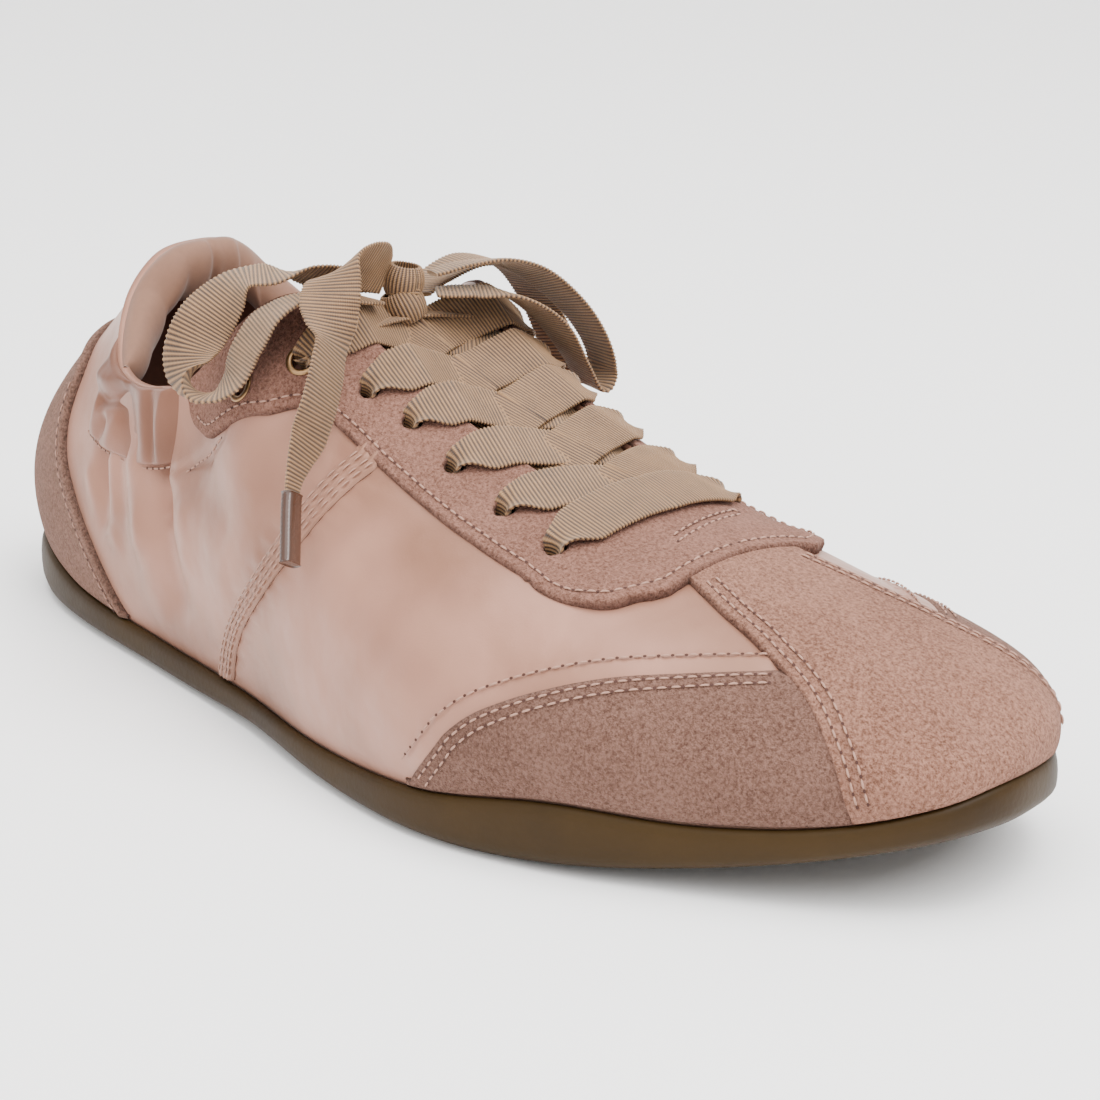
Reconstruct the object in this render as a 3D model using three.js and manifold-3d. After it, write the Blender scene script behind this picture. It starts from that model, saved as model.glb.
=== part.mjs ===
// A low satin and suede sneaker for the right foot, tied with a wide ribbon.
// Millimetres, +Z up, toe towards +X, outer side of the foot towards -Y.
// The origin is on the floor, under the middle of the shoe.
import * as THREE from 'three';
import { mergeVertices } from 'three/addons/utils/BufferGeometryUtils.js';
import Module from 'manifold-3d';

const wasm = await Module();
wasm.setup();

// Driving sizes of the shoe.
const soleLength = 257;
const ballWidth = 92;
const instepHeight = 80;
const randHeight = 10;
const toeSpring = 15;
const heelBevel = 2;
const archLift = 2.6;
const upperWall = 1.8;
const upperInset = 2.4;
const lipDepth = 0.9;
const clearance = 0.3;
const overlayThickness = 1;
const overlayGap = 0.6;
const insoleThickness = 3;
const tongueThickness = 3;
const rollRadius = 4.4;
const seamBandWidth = 5;
const holeRadius = 2;
const ringOuter = 3.3;
const ringInner = 2.1;
const ringHeight = 0.7;
const ribbonWidth = 11;
const ribbonThickness = 0.9;
const agletLength = 13;
const agletWall = 0.5;
const grooveWidth = 2.2;
const grooveDepth = 1.2;
const edgeRounding = 2;
const insoleSlack = 1.2;
const seamBandThickness = 0.6;
const cuffThickness = 0.9;
const cuffPuff = 1.6;
const sagDepth = 6.5;

// How finely the surfaces are cut into facets.
const roundSteps = 56;
const riseSteps = 6;
const crossSteps = 3;
const holeSides = 7;

// A table is written as named columns and rows, and read one column at a time.
function table(names, rows) {
  const columns = {};
  names.split(' ').forEach((name, i) => {
    columns[name] = rows.map((row) => row[i]);
  });
  return columns;
}

// The sole's outline. round: place round the edge, from the heel along the outer side to the toe and back.
// forward: share of the sole's length. side: share of half the ball width. rand: share of the rand height.
const outline = table('round forward side rand', [
  [0.000, -0.006, 0.000, 0.95],
  [0.026, 0.013, -0.330, 0.97],
  [0.053, 0.067, -0.520, 1.00],
  [0.089, 0.147, -0.630, 0.70],
  [0.144, 0.271, -0.710, 0.62],
  [0.204, 0.405, -0.800, 0.60],
  [0.262, 0.533, -0.940, 0.64],
  [0.313, 0.654, -0.990, 0.85],
  [0.360, 0.760, -0.840, 1.12],
  [0.406, 0.856, -0.560, 0.76],
  [0.447, 0.936, -0.280, 0.56],
  [0.475, 0.982, -0.035, 0.60],
  [0.497, 0.994, 0.220, 0.72],
  [0.518, 0.985, 0.460, 0.76],
  [0.541, 0.962, 0.700, 0.78],
  [0.575, 0.905, 0.960, 0.80],
  [0.615, 0.812, 1.060, 0.80],
  [0.658, 0.710, 1.020, 0.80],
  [0.708, 0.600, 0.870, 0.70],
  [0.770, 0.466, 0.660, 0.60],
  [0.830, 0.331, 0.575, 0.60],
  [0.894, 0.187, 0.615, 0.70],
  [0.942, 0.077, 0.560, 0.86],
  [0.971, 0.019, 0.350, 0.92],
]);

// The collar's edge, inner side first. up: share of the instep height. steep: how upright the wall ends.
// lean: how far it flares out of the sole. low and high: how full it is below and above.
const collar = table('round forward side up steep lean low high', [
  [-0.210, 0.390, 0.48, 0.960, 72, 12, 0.40, 0.32],
  [-0.178, 0.340, 0.57, 0.800, 82, 12, 0.38, 0.32],
  [-0.144, 0.280, 0.63, 0.720, 88, 14, 0.36, 0.30],
  [-0.089, 0.200, 0.60, 0.720, 86, 16, 0.36, 0.30],
  [-0.053, 0.153, 0.44, 0.840, 76, 18, 0.40, 0.30],
  [-0.026, 0.142, 0.26, 0.925, 66, 20, 0.42, 0.30],
  [0.000, 0.142, 0.06, 0.946, 60, 20, 0.42, 0.30],
  [0.026, 0.142, -0.15, 0.925, 66, 20, 0.42, 0.30],
  [0.053, 0.150, -0.34, 0.830, 76, 18, 0.40, 0.30],
  [0.089, 0.200, -0.56, 0.710, 86, 16, 0.36, 0.30],
  [0.144, 0.285, -0.63, 0.720, 88, 16, 0.36, 0.30],
  [0.178, 0.350, -0.55, 0.830, 80, 16, 0.38, 0.32],
  [0.210, 0.405, -0.42, 1.000, 66, 16, 0.40, 0.32],
]);

// The ridge over the instep, the vamp and the toe, where the ribs of both sides meet.
const ridge = table('round forward side up outer inner low high', [
  [0.150, 0.290, 0.04, 1.120, 14, 10, 0.38, 0.44],
  [0.204, 0.400, 0.05, 1.055, 16, 10, 0.40, 0.44],
  [0.233, 0.468, 0.05, 0.925, 18, 12, 0.42, 0.42],
  [0.262, 0.535, 0.06, 0.820, 20, 14, 0.44, 0.40],
  [0.290, 0.605, 0.07, 0.735, 22, 16, 0.46, 0.38],
  [0.320, 0.675, 0.08, 0.665, 24, 18, 0.47, 0.38],
  [0.350, 0.735, 0.10, 0.612, 25, 18, 0.48, 0.38],
  [0.380, 0.795, 0.13, 0.565, 26, 18, 0.48, 0.36],
  [0.410, 0.850, 0.16, 0.522, 27, 20, 0.48, 0.36],
  [0.440, 0.895, 0.19, 0.478, 28, 24, 0.48, 0.38],
  [0.470, 0.930, 0.21, 0.432, 30, 28, 0.48, 0.38],
  [0.500, 0.948, 0.22, 0.395, 31, 31, 0.48, 0.36],
  [0.530, 0.930, 0.21, 0.432, 30, 28, 0.48, 0.38],
  [0.560, 0.895, 0.19, 0.478, 28, 24, 0.48, 0.38],
]);

// Where the throat cuts each rib, as a share of the way up to the ridge.
const throat = table('round outer inner', [
  [0.150, 0.660, 0.620],
  [0.190, 0.770, 0.710],
  [0.212, 0.830, 0.770],
  [0.262, 0.845, 0.800],
  [0.290, 0.850, 0.810],
  [0.306, 0.865, 0.830],
  [0.317, 0.900, 0.875],
  [0.324, 0.940, 0.930],
  [0.328, 1.000, 1.000],
]);
const throatFront = 0.328;
const joinStart = 0.152;
const joinEnd = 0.212;

// Edges of the suede pieces, as shares of the way up the upper at each place round it.
const eyestayEdge = table('round rise', [
  [0.158, 0.930],
  [0.163, 0.820],
  [0.172, 0.720],
  [0.184, 0.640],
  [0.198, 0.630],
  [0.214, 0.670],
  [0.226, 0.745],
  [0.240, 0.765],
  [0.262, 0.750],
  [0.296, 0.720],
  [0.306, 0.707],
  [0.317, 0.674],
  [0.324, 0.641],
  [0.328, 0.598],
  [0.339, 0.580],
  [0.349, 0.590],
  [0.357, 0.620],
  [0.362, 0.690],
]);
const stripEdge = table('round rise', [
  [0.366, 0.800],
  [0.384, 0.745],
  [0.398, 0.705],
  [0.408, 0.665],
  [0.418, 0.620],
  [0.428, 0.550],
  [0.436, 0.450],
  [0.444, 0.290],
  [0.449, 0.100],
  [0.451, 0.000],
]);
const wingEdge = table('round rise', [
  [0.310, 0.010],
  [0.320, 0.095],
  [0.334, 0.215],
  [0.345, 0.280],
  [0.357, 0.345],
  [0.372, 0.430],
  [0.388, 0.510],
  [0.413, 0.640],
]);
const counterEdge = table('round rise', [
  [0.000, 0.680],
  [0.030, 0.675],
  [0.043, 0.630],
  [0.054, 0.505],
  [0.064, 0.430],
  [0.077, 0.375],
  [0.091, 0.300],
  [0.104, 0.200],
  [0.115, 0.090],
  [0.122, 0.015],
]);
const cuffEdge = table('round rise', [
  [0.066, 0.600],
  [0.085, 0.645],
  [0.104, 0.670],
  [0.126, 0.675],
  [0.141, 0.685],
  [0.154, 0.700],
]);
const seamBand = table('rise round', [
  [0.00, 0.190],
  [0.13, 0.203],
  [0.30, 0.226],
  [0.44, 0.240],
  [0.58, 0.248],
  [0.74, 0.255],
]);

// The lace holes, front pair first.
const holes = table('round outer inner', [
  [0.325, 0.74, 0.76],
  [0.302, 0.84, 0.85],
  [0.279, 0.87, 0.88],
  [0.258, 0.90, 0.90],
  [0.240, 0.89, 0.89],
  [0.217, 0.83, 0.84],
  [0.200, 0.72, 0.74],
]);
const punchedHoles = 5;

// A smooth curve through a column, with slopes taken from its neighbours.
function follow(keys, values, q) {
  const last = keys.length - 1;
  let k = 0;
  while (k < last - 1 && q >= keys[k + 1]) k += 1;
  const slope = (i) => {
    const a = Math.max(i - 1, 0);
    const b = Math.min(i + 1, last);
    return (values[b] - values[a]) / (keys[b] - keys[a]);
  };
  const h = keys[k + 1] - keys[k];
  const t = (q - keys[k]) / h;
  const start = (2 * t ** 3 - 3 * t ** 2 + 1) * values[k] + (t ** 3 - 2 * t ** 2 + t) * h * slope(k);
  const end = (-2 * t ** 3 + 3 * t ** 2) * values[k + 1] + (t ** 3 - t ** 2) * h * slope(k + 1);
  return start + end;
}

function clamp(value, low, high) {
  return Math.min(Math.max(value, low), high);
}

function mix(a, b, share) {
  return a + (b - a) * share;
}

// A column of a table, held at its first and last rows beyond them.
function read(rows, name, q, key = 'round') {
  const keys = rows[key];
  return follow(keys, rows[name], clamp(q, keys[0], keys[keys.length - 1]));
}

// A column of the outline, which closes on itself.
function readRound(name, round) {
  const reach = 3;
  const keys = outline.round;
  const values = outline[name];
  const before = keys.slice(-reach).map((key) => key - 1);
  const after = keys.slice(0, reach).map((key) => key + 1);
  const q = round - Math.floor(round);
  const around = [...values.slice(-reach), ...values, ...values.slice(0, reach)];
  return follow([...before, ...keys, ...after], around, q);
}

function edgePoint(round) {
  const x = soleLength * readRound('forward', round);
  return new THREE.Vector2(x, ballWidth / 2 * readRound('side', round));
}

function edgeOutward(round) {
  const step = 1e-3;
  const run = edgePoint(round + step).sub(edgePoint(round - step)).normalize();
  return new THREE.Vector2(run.y, -run.x);
}

function insetPoint(round, inset) {
  return edgePoint(round).addScaledVector(edgeOutward(round), -inset);
}

// Height of the sole's underside over the floor: toe spring and the bevel of the heel.
const springStart = 0.67;
const bevelEnd = 0.10;
function groundHeight(x) {
  const share = x / soleLength;
  const toe = toeSpring * Math.max((share - springStart) / (1 - springStart), 0) ** 2;
  const heel = heelBevel * Math.max((bevelEnd - share) / bevelEnd, 0) ** 2;
  return toe + heel;
}

// The waist is hollowed under the arch, more on the inner side.
const archStart = 0.32;
const archEnd = 0.58;
function archHeight(x, y) {
  const share = (x / soleLength - archStart) / (archEnd - archStart);
  if (share <= 0 || share >= 1) return 0;
  const inner = 0.5 + 0.5 * clamp(y / (ballWidth / 4), -1, 1);
  return archLift * Math.sin(Math.PI * share) ** 2 * mix(0.35, 1, inner);
}

function randTop(round) {
  return groundHeight(edgePoint(round).x) + randHeight * readRound('rand', round);
}

// The upper is made of ribs: curves of four control points from the sole up to the collar or the ridge.
function rib(round, top, steep, lean, low, high, slope) {
  const out = edgeOutward(round);
  const base = insetPoint(round, upperInset);
  const foot = new THREE.Vector3(base.x, base.y, randTop(round) - lipDepth + clearance);
  const span = foot.distanceTo(top);
  const flare = THREE.MathUtils.degToRad(lean);
  const rise = new THREE.Vector3(out.x * Math.sin(flare), out.y * Math.sin(flare), Math.cos(flare));
  const inward = new THREE.Vector2(foot.x - top.x, foot.y - top.y).normalize();
  const upright = clamp(steep / 90, 0, 1);
  const away = inward.multiplyScalar(1 - upright).addScaledVector(out, upright).normalize();
  const tilt = THREE.MathUtils.degToRad(steep);
  const flat = away.clone().multiplyScalar(Math.cos(tilt));
  const fall = new THREE.Vector3(flat.x, flat.y, slope * away.x - Math.sin(tilt)).normalize();
  return [
    foot,
    foot.clone().addScaledVector(rise, low * span),
    top.clone().addScaledVector(fall, high * span),
    top,
  ];
}

function collarRib(round) {
  const q = round > 0.5 ? round - 1 : round;
  const value = (name) => read(collar, name, q);
  const top = new THREE.Vector3(
    soleLength * value('forward'),
    ballWidth / 2 * value('side'),
    instepHeight * value('up'),
  );
  return rib(round, top, value('steep'), value('lean'), value('low'), value('high'), 0);
}

function ridgeRib(round) {
  const q = clamp(Math.min(round, 1 - round), ridge.round[0], 0.5);
  const value = (name) => read(ridge, name, q);
  const top = new THREE.Vector3(
    soleLength * value('forward'),
    ballWidth / 2 * value('side'),
    instepHeight * value('up'),
  );
  const step = 2e-3;
  const before = clamp(q - step, ridge.round[0], 0.5 - 3 * step);
  const after = clamp(q + step, ridge.round[0] + step, 0.5 - step);
  const drop = instepHeight * (read(ridge, 'up', after) - read(ridge, 'up', before));
  const run = soleLength * (read(ridge, 'forward', after) - read(ridge, 'forward', before));
  const lean = round > 0.5 ? value('inner') : value('outer');
  return rib(round, top, 0, lean, value('low'), value('high'), drop / run);
}

// The first part of a rib, up to a share of its length.
function cutRib(points, share) {
  const [a, b, c, d] = points;
  const ab = a.clone().lerp(b, share);
  const bc = b.clone().lerp(c, share);
  const cd = c.clone().lerp(d, share);
  const abc = ab.clone().lerp(bc, share);
  const bcd = bc.clone().lerp(cd, share);
  return [a, ab, abc, abc.clone().lerp(bcd, share)];
}

function throatShare(round) {
  const q = Math.min(round, 1 - round);
  if (q >= throatFront) return 1;
  return Math.min(read(throat, round > 0.5 ? 'inner' : 'outer', q), 1);
}

const ribStore = new Map();
function upperRib(round) {
  const place = round - Math.floor(round);
  if (ribStore.has(place)) return ribStore.get(place);
  const q = Math.min(place, 1 - place);
  const share = clamp((q - joinStart) / (joinEnd - joinStart), 0, 1);
  const blend = share * share * (3 - 2 * share);
  let points;
  if (blend === 0) points = collarRib(place);
  else {
    points = cutRib(ridgeRib(place), throatShare(place));
    if (blend < 1) {
      const side = collarRib(place);
      points = points.map((point, i) => side[i].clone().lerp(point, blend));
    }
  }
  ribStore.set(place, points);
  return points;
}

function along(points, t) {
  const [a, b, c, d] = points;
  const s = 1 - t;
  return new THREE.Vector3()
    .addScaledVector(a, s * s * s)
    .addScaledVector(b, 3 * s * s * t)
    .addScaledVector(c, 3 * s * t * t)
    .addScaledVector(d, t * t * t);
}

// Outward normal of a surface given by round and rise.
function normalOf(surface, round, rise) {
  const step = 1e-3;
  const around = surface(round + step, rise).sub(surface(round - step, rise));
  const low = Math.max(rise - step, 0);
  const up = surface(round, low + 2 * step).sub(surface(round, low));
  return around.cross(up).normalize();
}

const upperPoint = (round, rise) => along(upperRib(round), rise);
const formPoint = (round, rise) => along(ridgeRib(round - Math.floor(round)), rise);

const isRidge = (round, rise) => rise >= 0.9999 && Math.min(round, 1 - round) >= throatFront - 1e-9;

// A point standing off the surface. On the ridge both sides share one normal, so that they meet.
function offPoint(surface, round, rise, off) {
  const normal = normalOf(surface, round, Math.min(rise, 0.999));
  if (isRidge(round, rise)) normal.add(normalOf(surface, 1 - round, 0.999)).normalize();
  return surface(round, rise).addScaledVector(normal, off);
}

// A closed solid is gathered as triangles, and its shared corners are merged at the end.
class Skin {
  constructor() {
    this.places = [];
  }

  face(...points) {
    for (let i = 1; i < points.length - 1; i += 1) {
      [points[0], points[i], points[i + 1]].forEach((p) => this.places.push(p.x, p.y, p.z));
    }
  }

  // Four corners, split along the shorter diagonal.
  quad(a, b, c, d) {
    if (a.distanceTo(c) <= b.distanceTo(d)) this.face(a, b, c, d);
    else this.face(b, c, d, a);
  }

  // Two skins over one grid, with walls along the sides that are named closed.
  shell(outer, inner, rims) {
    const rows = outer.length - 1;
    const columns = outer[0].length - 1;
    for (let i = 0; i < rows; i += 1) {
      for (let j = 0; j < columns; j += 1) {
        this.quad(outer[i][j], outer[i + 1][j], outer[i + 1][j + 1], outer[i][j + 1]);
        this.quad(inner[i][j], inner[i][j + 1], inner[i + 1][j + 1], inner[i + 1][j]);
      }
      this.face(inner[i][0], inner[i + 1][0], outer[i + 1][0], outer[i][0]);
      if (rims.top(i)) {
        const m = columns;
        this.face(outer[i][m], outer[i + 1][m], inner[i + 1][m], inner[i][m]);
      }
    }
    if (!rims.ends) return;
    for (let j = 0; j < columns; j += 1) {
      this.face(inner[0][j], outer[0][j], outer[0][j + 1], inner[0][j + 1]);
      const n = rows;
      this.face(outer[n][j], inner[n][j], inner[n][j + 1], outer[n][j + 1]);
    }
  }

  geometry() {
    const geometry = new THREE.BufferGeometry();
    geometry.setAttribute('position', new THREE.Float32BufferAttribute(this.places, 3));
    return clean(geometry);
  }
}

// Shared corners merged, and triangles without area left out.
function clean(source) {
  const bare = source.clone();
  bare.deleteAttribute('normal');
  bare.deleteAttribute('uv');
  const merged = mergeVertices(bare, 1e-4);
  const index = merged.index.array;
  const kept = [];
  for (let i = 0; i < index.length; i += 3) {
    const [a, b, c] = [index[i], index[i + 1], index[i + 2]];
    if (a !== b && b !== c && c !== a) kept.push(a, b, c);
  }
  merged.setIndex(kept);
  return merged;
}

function solidOf(geometry) {
  const merged = clean(geometry);
  return new wasm.Manifold(new wasm.Mesh({
    numProp: 3,
    vertProperties: new Float32Array(merged.attributes.position.array),
    triVerts: new Uint32Array(merged.index.array),
  }));
}

function geometryOf(solid) {
  const mesh = solid.getMesh();
  const geometry = new THREE.BufferGeometry();
  geometry.setAttribute('position', new THREE.Float32BufferAttribute(mesh.vertProperties, 3));
  geometry.setIndex(Array.from(mesh.triVerts));
  return geometry;
}

function cut(geometry, tools) {
  let solid = solidOf(geometry);
  tools.forEach((tool) => {
    solid = solid.subtract(solidOf(tool));
  });
  return geometryOf(solid);
}

function join(geometries) {
  let solid = solidOf(geometries[0]);
  geometries.slice(1).forEach((geometry) => {
    solid = solid.add(solidOf(geometry));
  });
  return geometryOf(solid);
}

function spread(from, to, steps) {
  return Array.from({ length: steps + 1 }, (_, i) => mix(from, to, i / steps));
}

// A closed tube through sections of the same number of corners.
function tube(sections) {
  const skin = new Skin();
  const sides = sections[0].length;
  for (let i = 0; i < sections.length - 1; i += 1) {
    const next = sections[i + 1];
    for (let j = 0; j < sides; j += 1) {
      const k = (j + 1) % sides;
      skin.quad(sections[i][j], next[j], next[k], sections[i][k]);
    }
  }
  skin.face(...sections[0]);
  skin.face(...sections[sections.length - 1].slice().reverse());
  return skin.geometry();
}

// A patch that follows the upper, between two heights over it. low and high give its edges at each round.
function patch(rounds, low, high, steps, inside, outside) {
  const skin = new Skin();
  const grid = (off) => rounds.map((round, i) => spread(0, 1, steps).map((share) => {
    const rise = mix(low(round), high(round), share);
    return offPoint(upperPoint, round, rise, off(i / (rounds.length - 1), share));
  }));
  const shared = (i) => isRidge(rounds[i], high(rounds[i])) && isRidge(rounds[i + 1], high(rounds[i + 1]));
  skin.shell(grid(outside), grid(inside), { top: (i) => !shared(i), ends: true });
  return skin;
}

function turned(rounds) {
  return rounds.map((round) => 1 - round).reverse();
}

// The shoe.
const shoe = new THREE.Group();

function add(name, geometry, material) {
  const mesh = new THREE.Mesh(geometry, material);
  mesh.name = name;
  shoe.add(mesh);
  return mesh;
}

const rubber = new THREE.MeshStandardMaterial({ color: 0x6b5238, roughness: 0.6, metalness: 0 });
const satin = new THREE.MeshStandardMaterial({ color: 0xdcbfb2, roughness: 0.45, metalness: 0 });
const suede = new THREE.MeshStandardMaterial({ color: 0xb48f83, roughness: 0.95, metalness: 0 });
const lining = new THREE.MeshStandardMaterial({ color: 0xe2ccc1, roughness: 0.6, metalness: 0 });
const ribbon = new THREE.MeshStandardMaterial({ color: 0xb39781, roughness: 0.7, metalness: 0 });
const metal = new THREE.MeshStandardMaterial({ color: 0x9a7a5c, roughness: 0.35, metalness: 0.9 });

// Places round the shoe, the same on both sides, so that the ridge's corners meet.
const halfRounds = [
  ...spread(0, throatFront, Math.round(roundSteps * throatFront)),
  ...spread(throatFront, 0.5, Math.round(roundSteps * (0.5 - throatFront))).slice(1),
];
const rounds = [...halfRounds, ...turned(halfRounds).slice(1, -1)];
const nextRound = (i) => rounds[(i + 1) % rounds.length];
const girth = rounds.reduce((sum, round, i) => sum + edgePoint(round).distanceTo(edgePoint(nextRound(i))), 0);

// Outsole: an underside with its arch, a rounded rand with a lip round the upper, and a footbed.
// Each ring of its side is an inset from the outline and a share of the way up, plus a height. The inset
// and the height are shares of the edge's rounding.
const lipInset = (upperInset - 1.5 * clearance) / edgeRounding;
const soleSide = table('inset up lift', [
  [1.6, 0.00, 0.0],
  [0.6, 0.00, 0.4],
  [0.1, 0.35, 0.0],
  [0.0, 0.70, 0.0],
  [0.25, 1.00, -0.12],
  [0.6, 1.00, 0.0],
  [lipInset, 1.00, 0.0],
  [lipInset, 1.00, -lipDepth / edgeRounding],
]);

function soleRing(row) {
  return (round) => {
    const place = insetPoint(round, edgeRounding * soleSide.inset[row]);
    const bottom = groundHeight(place.x) + archHeight(place.x, place.y);
    const height = mix(bottom, randTop(round), soleSide.up[row]) + edgeRounding * soleSide.lift[row];
    return new THREE.Vector3(place.x, place.y, height);
  };
}

// A skin between the two sides of a ring, in steps across the foot. height gives the points between them.
function acrossGrid(ring, steps = 1, height = (point) => point.z) {
  return halfRounds.map((round) => {
    const outer = ring(round);
    const inner = ring(round === 0 ? 0 : 1 - round);
    return spread(0, 1, steps).map((share) => {
      const point = outer.clone().lerp(inner, share);
      if (share > 0 && share < 1) point.z = height(point);
      return point;
    });
  });
}

function fillGrid(skin, grid, up) {
  for (let i = 0; i < grid.length - 1; i += 1) {
    for (let j = 0; j < grid[0].length - 1; j += 1) {
      const corners = [grid[i][j], grid[i][j + 1], grid[i + 1][j + 1], grid[i + 1][j]];
      if (up) corners.reverse();
      skin.face(...corners);
    }
  }
}

function ringWall(skin, lower, upper) {
  rounds.forEach((round, i) => {
    const next = nextRound(i);
    skin.face(lower(round), lower(next), upper(next), upper(round));
  });
}

function makeOutsole() {
  const skin = new Skin();
  const last = soleSide.inset.length - 1;
  for (let row = 0; row < last; row += 1) ringWall(skin, soleRing(row), soleRing(row + 1));
  const underside = (point) => groundHeight(point.x) + archHeight(point.x, point.y);
  fillGrid(skin, acrossGrid(soleRing(0), crossSteps, underside), false);
  fillGrid(skin, acrossGrid(soleRing(last)), true);
  return skin.geometry();
}

// Flex grooves across the forefoot and the heel.
const grooves = table('forward turn', [
  [0.12, 0],
  [0.17, 0],
  [0.22, 0],
  [0.62, -12],
  [0.67, -12],
  [0.72, -12],
  [0.77, -12],
  [0.82, -12],
]);

function makeGrooves() {
  return grooves.forward.map((forward, i) => {
    const box = new THREE.BoxGeometry(grooveWidth, ballWidth * 2, 2 * grooveDepth);
    const tool = new THREE.Mesh(box);
    tool.rotation.z = THREE.MathUtils.degToRad(grooves.turn[i]);
    tool.position.set(soleLength * forward, 0, groundHeight(soleLength * forward));
    tool.updateMatrix();
    return box.applyMatrix4(tool.matrix);
  });
}

add('outsole', cut(makeOutsole(), makeGrooves()), rubber);

// Insole: a slab inside the upper, on the footbed.
const insoleInset = upperInset + upperWall + insoleSlack;
function insoleRing(lift) {
  return (round) => {
    const place = insetPoint(round, insoleInset);
    return new THREE.Vector3(place.x, place.y, randTop(round) - lipDepth + 2 * clearance + lift);
  };
}

function makeInsole() {
  const skin = new Skin();
  const under = insoleRing(0);
  const over = insoleRing(insoleThickness);
  ringWall(skin, under, over);
  fillGrid(skin, acrossGrid(under), false);
  fillGrid(skin, acrossGrid(over), true);
  return skin.geometry();
}

add('insole', makeInsole(), lining);

// Lace holes: a pin through the wall at each place, pointing out of it.
const pinLength = 8 * upperWall;
function pinAt(round, rise, radius) {
  const pin = new THREE.CylinderGeometry(radius, radius, pinLength, holeSides);
  const normal = normalOf(upperPoint, round, rise);
  pin.applyQuaternion(new THREE.Quaternion().setFromUnitVectors(new THREE.Vector3(0, 1, 0), normal));
  const place = upperPoint(round, rise);
  pin.translate(place.x, place.y, place.z);
  return pin;
}

const holeList = holes.round.flatMap((round, i) => [
  { round, rise: holes.outer[i], ring: i >= punchedHoles },
  { round: 1 - round, rise: holes.inner[i], ring: i >= punchedHoles },
]);
const pins = holeList.map((hole) => pinAt(hole.round, hole.rise, holeRadius));

// Upper: one hollow wall, open at the collar, the throat and underneath.
function makeUpper() {
  const skin = new Skin();
  const rises = spread(0, 1, riseSteps);
  const ribAt = (round, off) => rises.map((rise) => offPoint(upperPoint, round, rise, off));
  const grid = (off) => [...rounds, rounds[0]].map((round) => ribAt(round, off));
  const open = (i) => !(isRidge(rounds[i], 1) && isRidge(nextRound(i), 1));
  skin.shell(grid(0), grid(-upperWall), { top: open, ends: false });
  return skin.geometry();
}

add('upper', cut(makeUpper(), pins), satin);

// The rise at which an overlay clears the sole's lip.
function aboveLip(round) {
  const [foot, next] = upperRib(round);
  return (lipDepth + 2 * clearance) / (3 * (next.z - foot.z));
}

// Suede overlays lie a little off the upper: some of them further, where it bends between its facets.
const under = () => overlayGap;
const over = () => overlayGap + overlayThickness;
const stripGap = 1.7 * overlayGap;
const wingGap = 1.4 * overlayGap;
const counterGap = 1.3 * overlayGap;
const lastOf = (rows) => rows.round[rows.round.length - 1];
const rimAt = (rows, round) => read(rows, 'rise', Math.min(round, 1 - round));
const toTop = () => 1;

function makeEyestay() {
  const front = lastOf(eyestayEdge);
  const places = [
    ...spread(eyestayEdge.round[0], throatFront, 17),
    ...spread(throatFront, front, 4).slice(1),
  ];
  const low = (round) => rimAt(eyestayEdge, round);
  const outer = patch(places, low, toTop, 3, under, over);
  const inner = patch(turned(places), low, toTop, 3, under, over);
  outer.places.push(...inner.places);
  return outer.geometry();
}

add('eyestay', cut(makeEyestay(), pins), suede);

// The strip's side runs steeply down to the sole from this place on.
const steepStart = 0.42;
function makeToeStrip() {
  const end = lastOf(stripEdge);
  const places = [
    ...spread(stripEdge.round[0], steepStart, 4),
    ...spread(steepStart, end, 7).slice(1),
    ...halfRounds.filter((round) => round > end + 0.005),
  ];
  const low = (round) => Math.max(rimAt(stripEdge, round), aboveLip(round));
  const all = [...places, ...turned(places).slice(1)];
  return patch(all, low, toTop, riseSteps, () => stripGap, () => stripGap + overlayThickness).geometry();
}

add('toe_strip', makeToeStrip(), suede);

// The wings stop short of the strip's edge by these shares of the upper's height and of its round.
const wingShortRise = 0.014;
const wingShortRound = 0.002;
const thinnest = 0.02;
function makeWing(inner) {
  const places = [
    ...spread(wingEdge.round[0], steepStart, 7),
    ...spread(steepStart, lastOf(stripEdge) - 1.5 * wingShortRound, 6).slice(1),
  ];
  const high = (round) => {
    const q = Math.min(round, 1 - round);
    const strip = read(stripEdge, 'rise', q + wingShortRound) - wingShortRise;
    return Math.max(Math.min(read(wingEdge, 'rise', q), strip), aboveLip(round) + thinnest);
  };
  return patch(inner ? turned(places) : places, aboveLip, high, 4, () => wingGap, over).geometry();
}

add('toe_wing_lateral', makeWing(false), suede);
add('toe_wing_medial', makeWing(true), suede);

function makeCounter() {
  const half = spread(0, lastOf(counterEdge), 10);
  const places = [...half.slice(1).map((round) => 1 - round).reverse(), ...half];
  const high = (round) => Math.max(rimAt(counterEdge, round), aboveLip(round) + thinnest);
  return patch(places, aboveLip, high, 5, () => counterGap, over).geometry();
}

add('heel_counter', makeCounter(), suede);

// The gathered cuff at each side of the collar is puffed with soft folds.
const cuffFolds = 4;
const cuffTop = 0.985;
function makeCuff(inner) {
  const places = spread(cuffEdge.round[0], lastOf(cuffEdge), 13);
  const low = (round) => rimAt(cuffEdge, round);
  const high = () => cuffTop;
  const puff = (share, rise) => {
    const fold = 0.75 + 0.25 * Math.cos(2 * Math.PI * cuffFolds * share);
    return overlayGap + cuffThickness + cuffPuff * Math.sin(Math.PI * rise) * fold;
  };
  return patch(inner ? turned(places) : places, low, high, 3, under, puff).geometry();
}

add('cuff_lateral', makeCuff(false), satin);
add('cuff_medial', makeCuff(true), satin);

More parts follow.
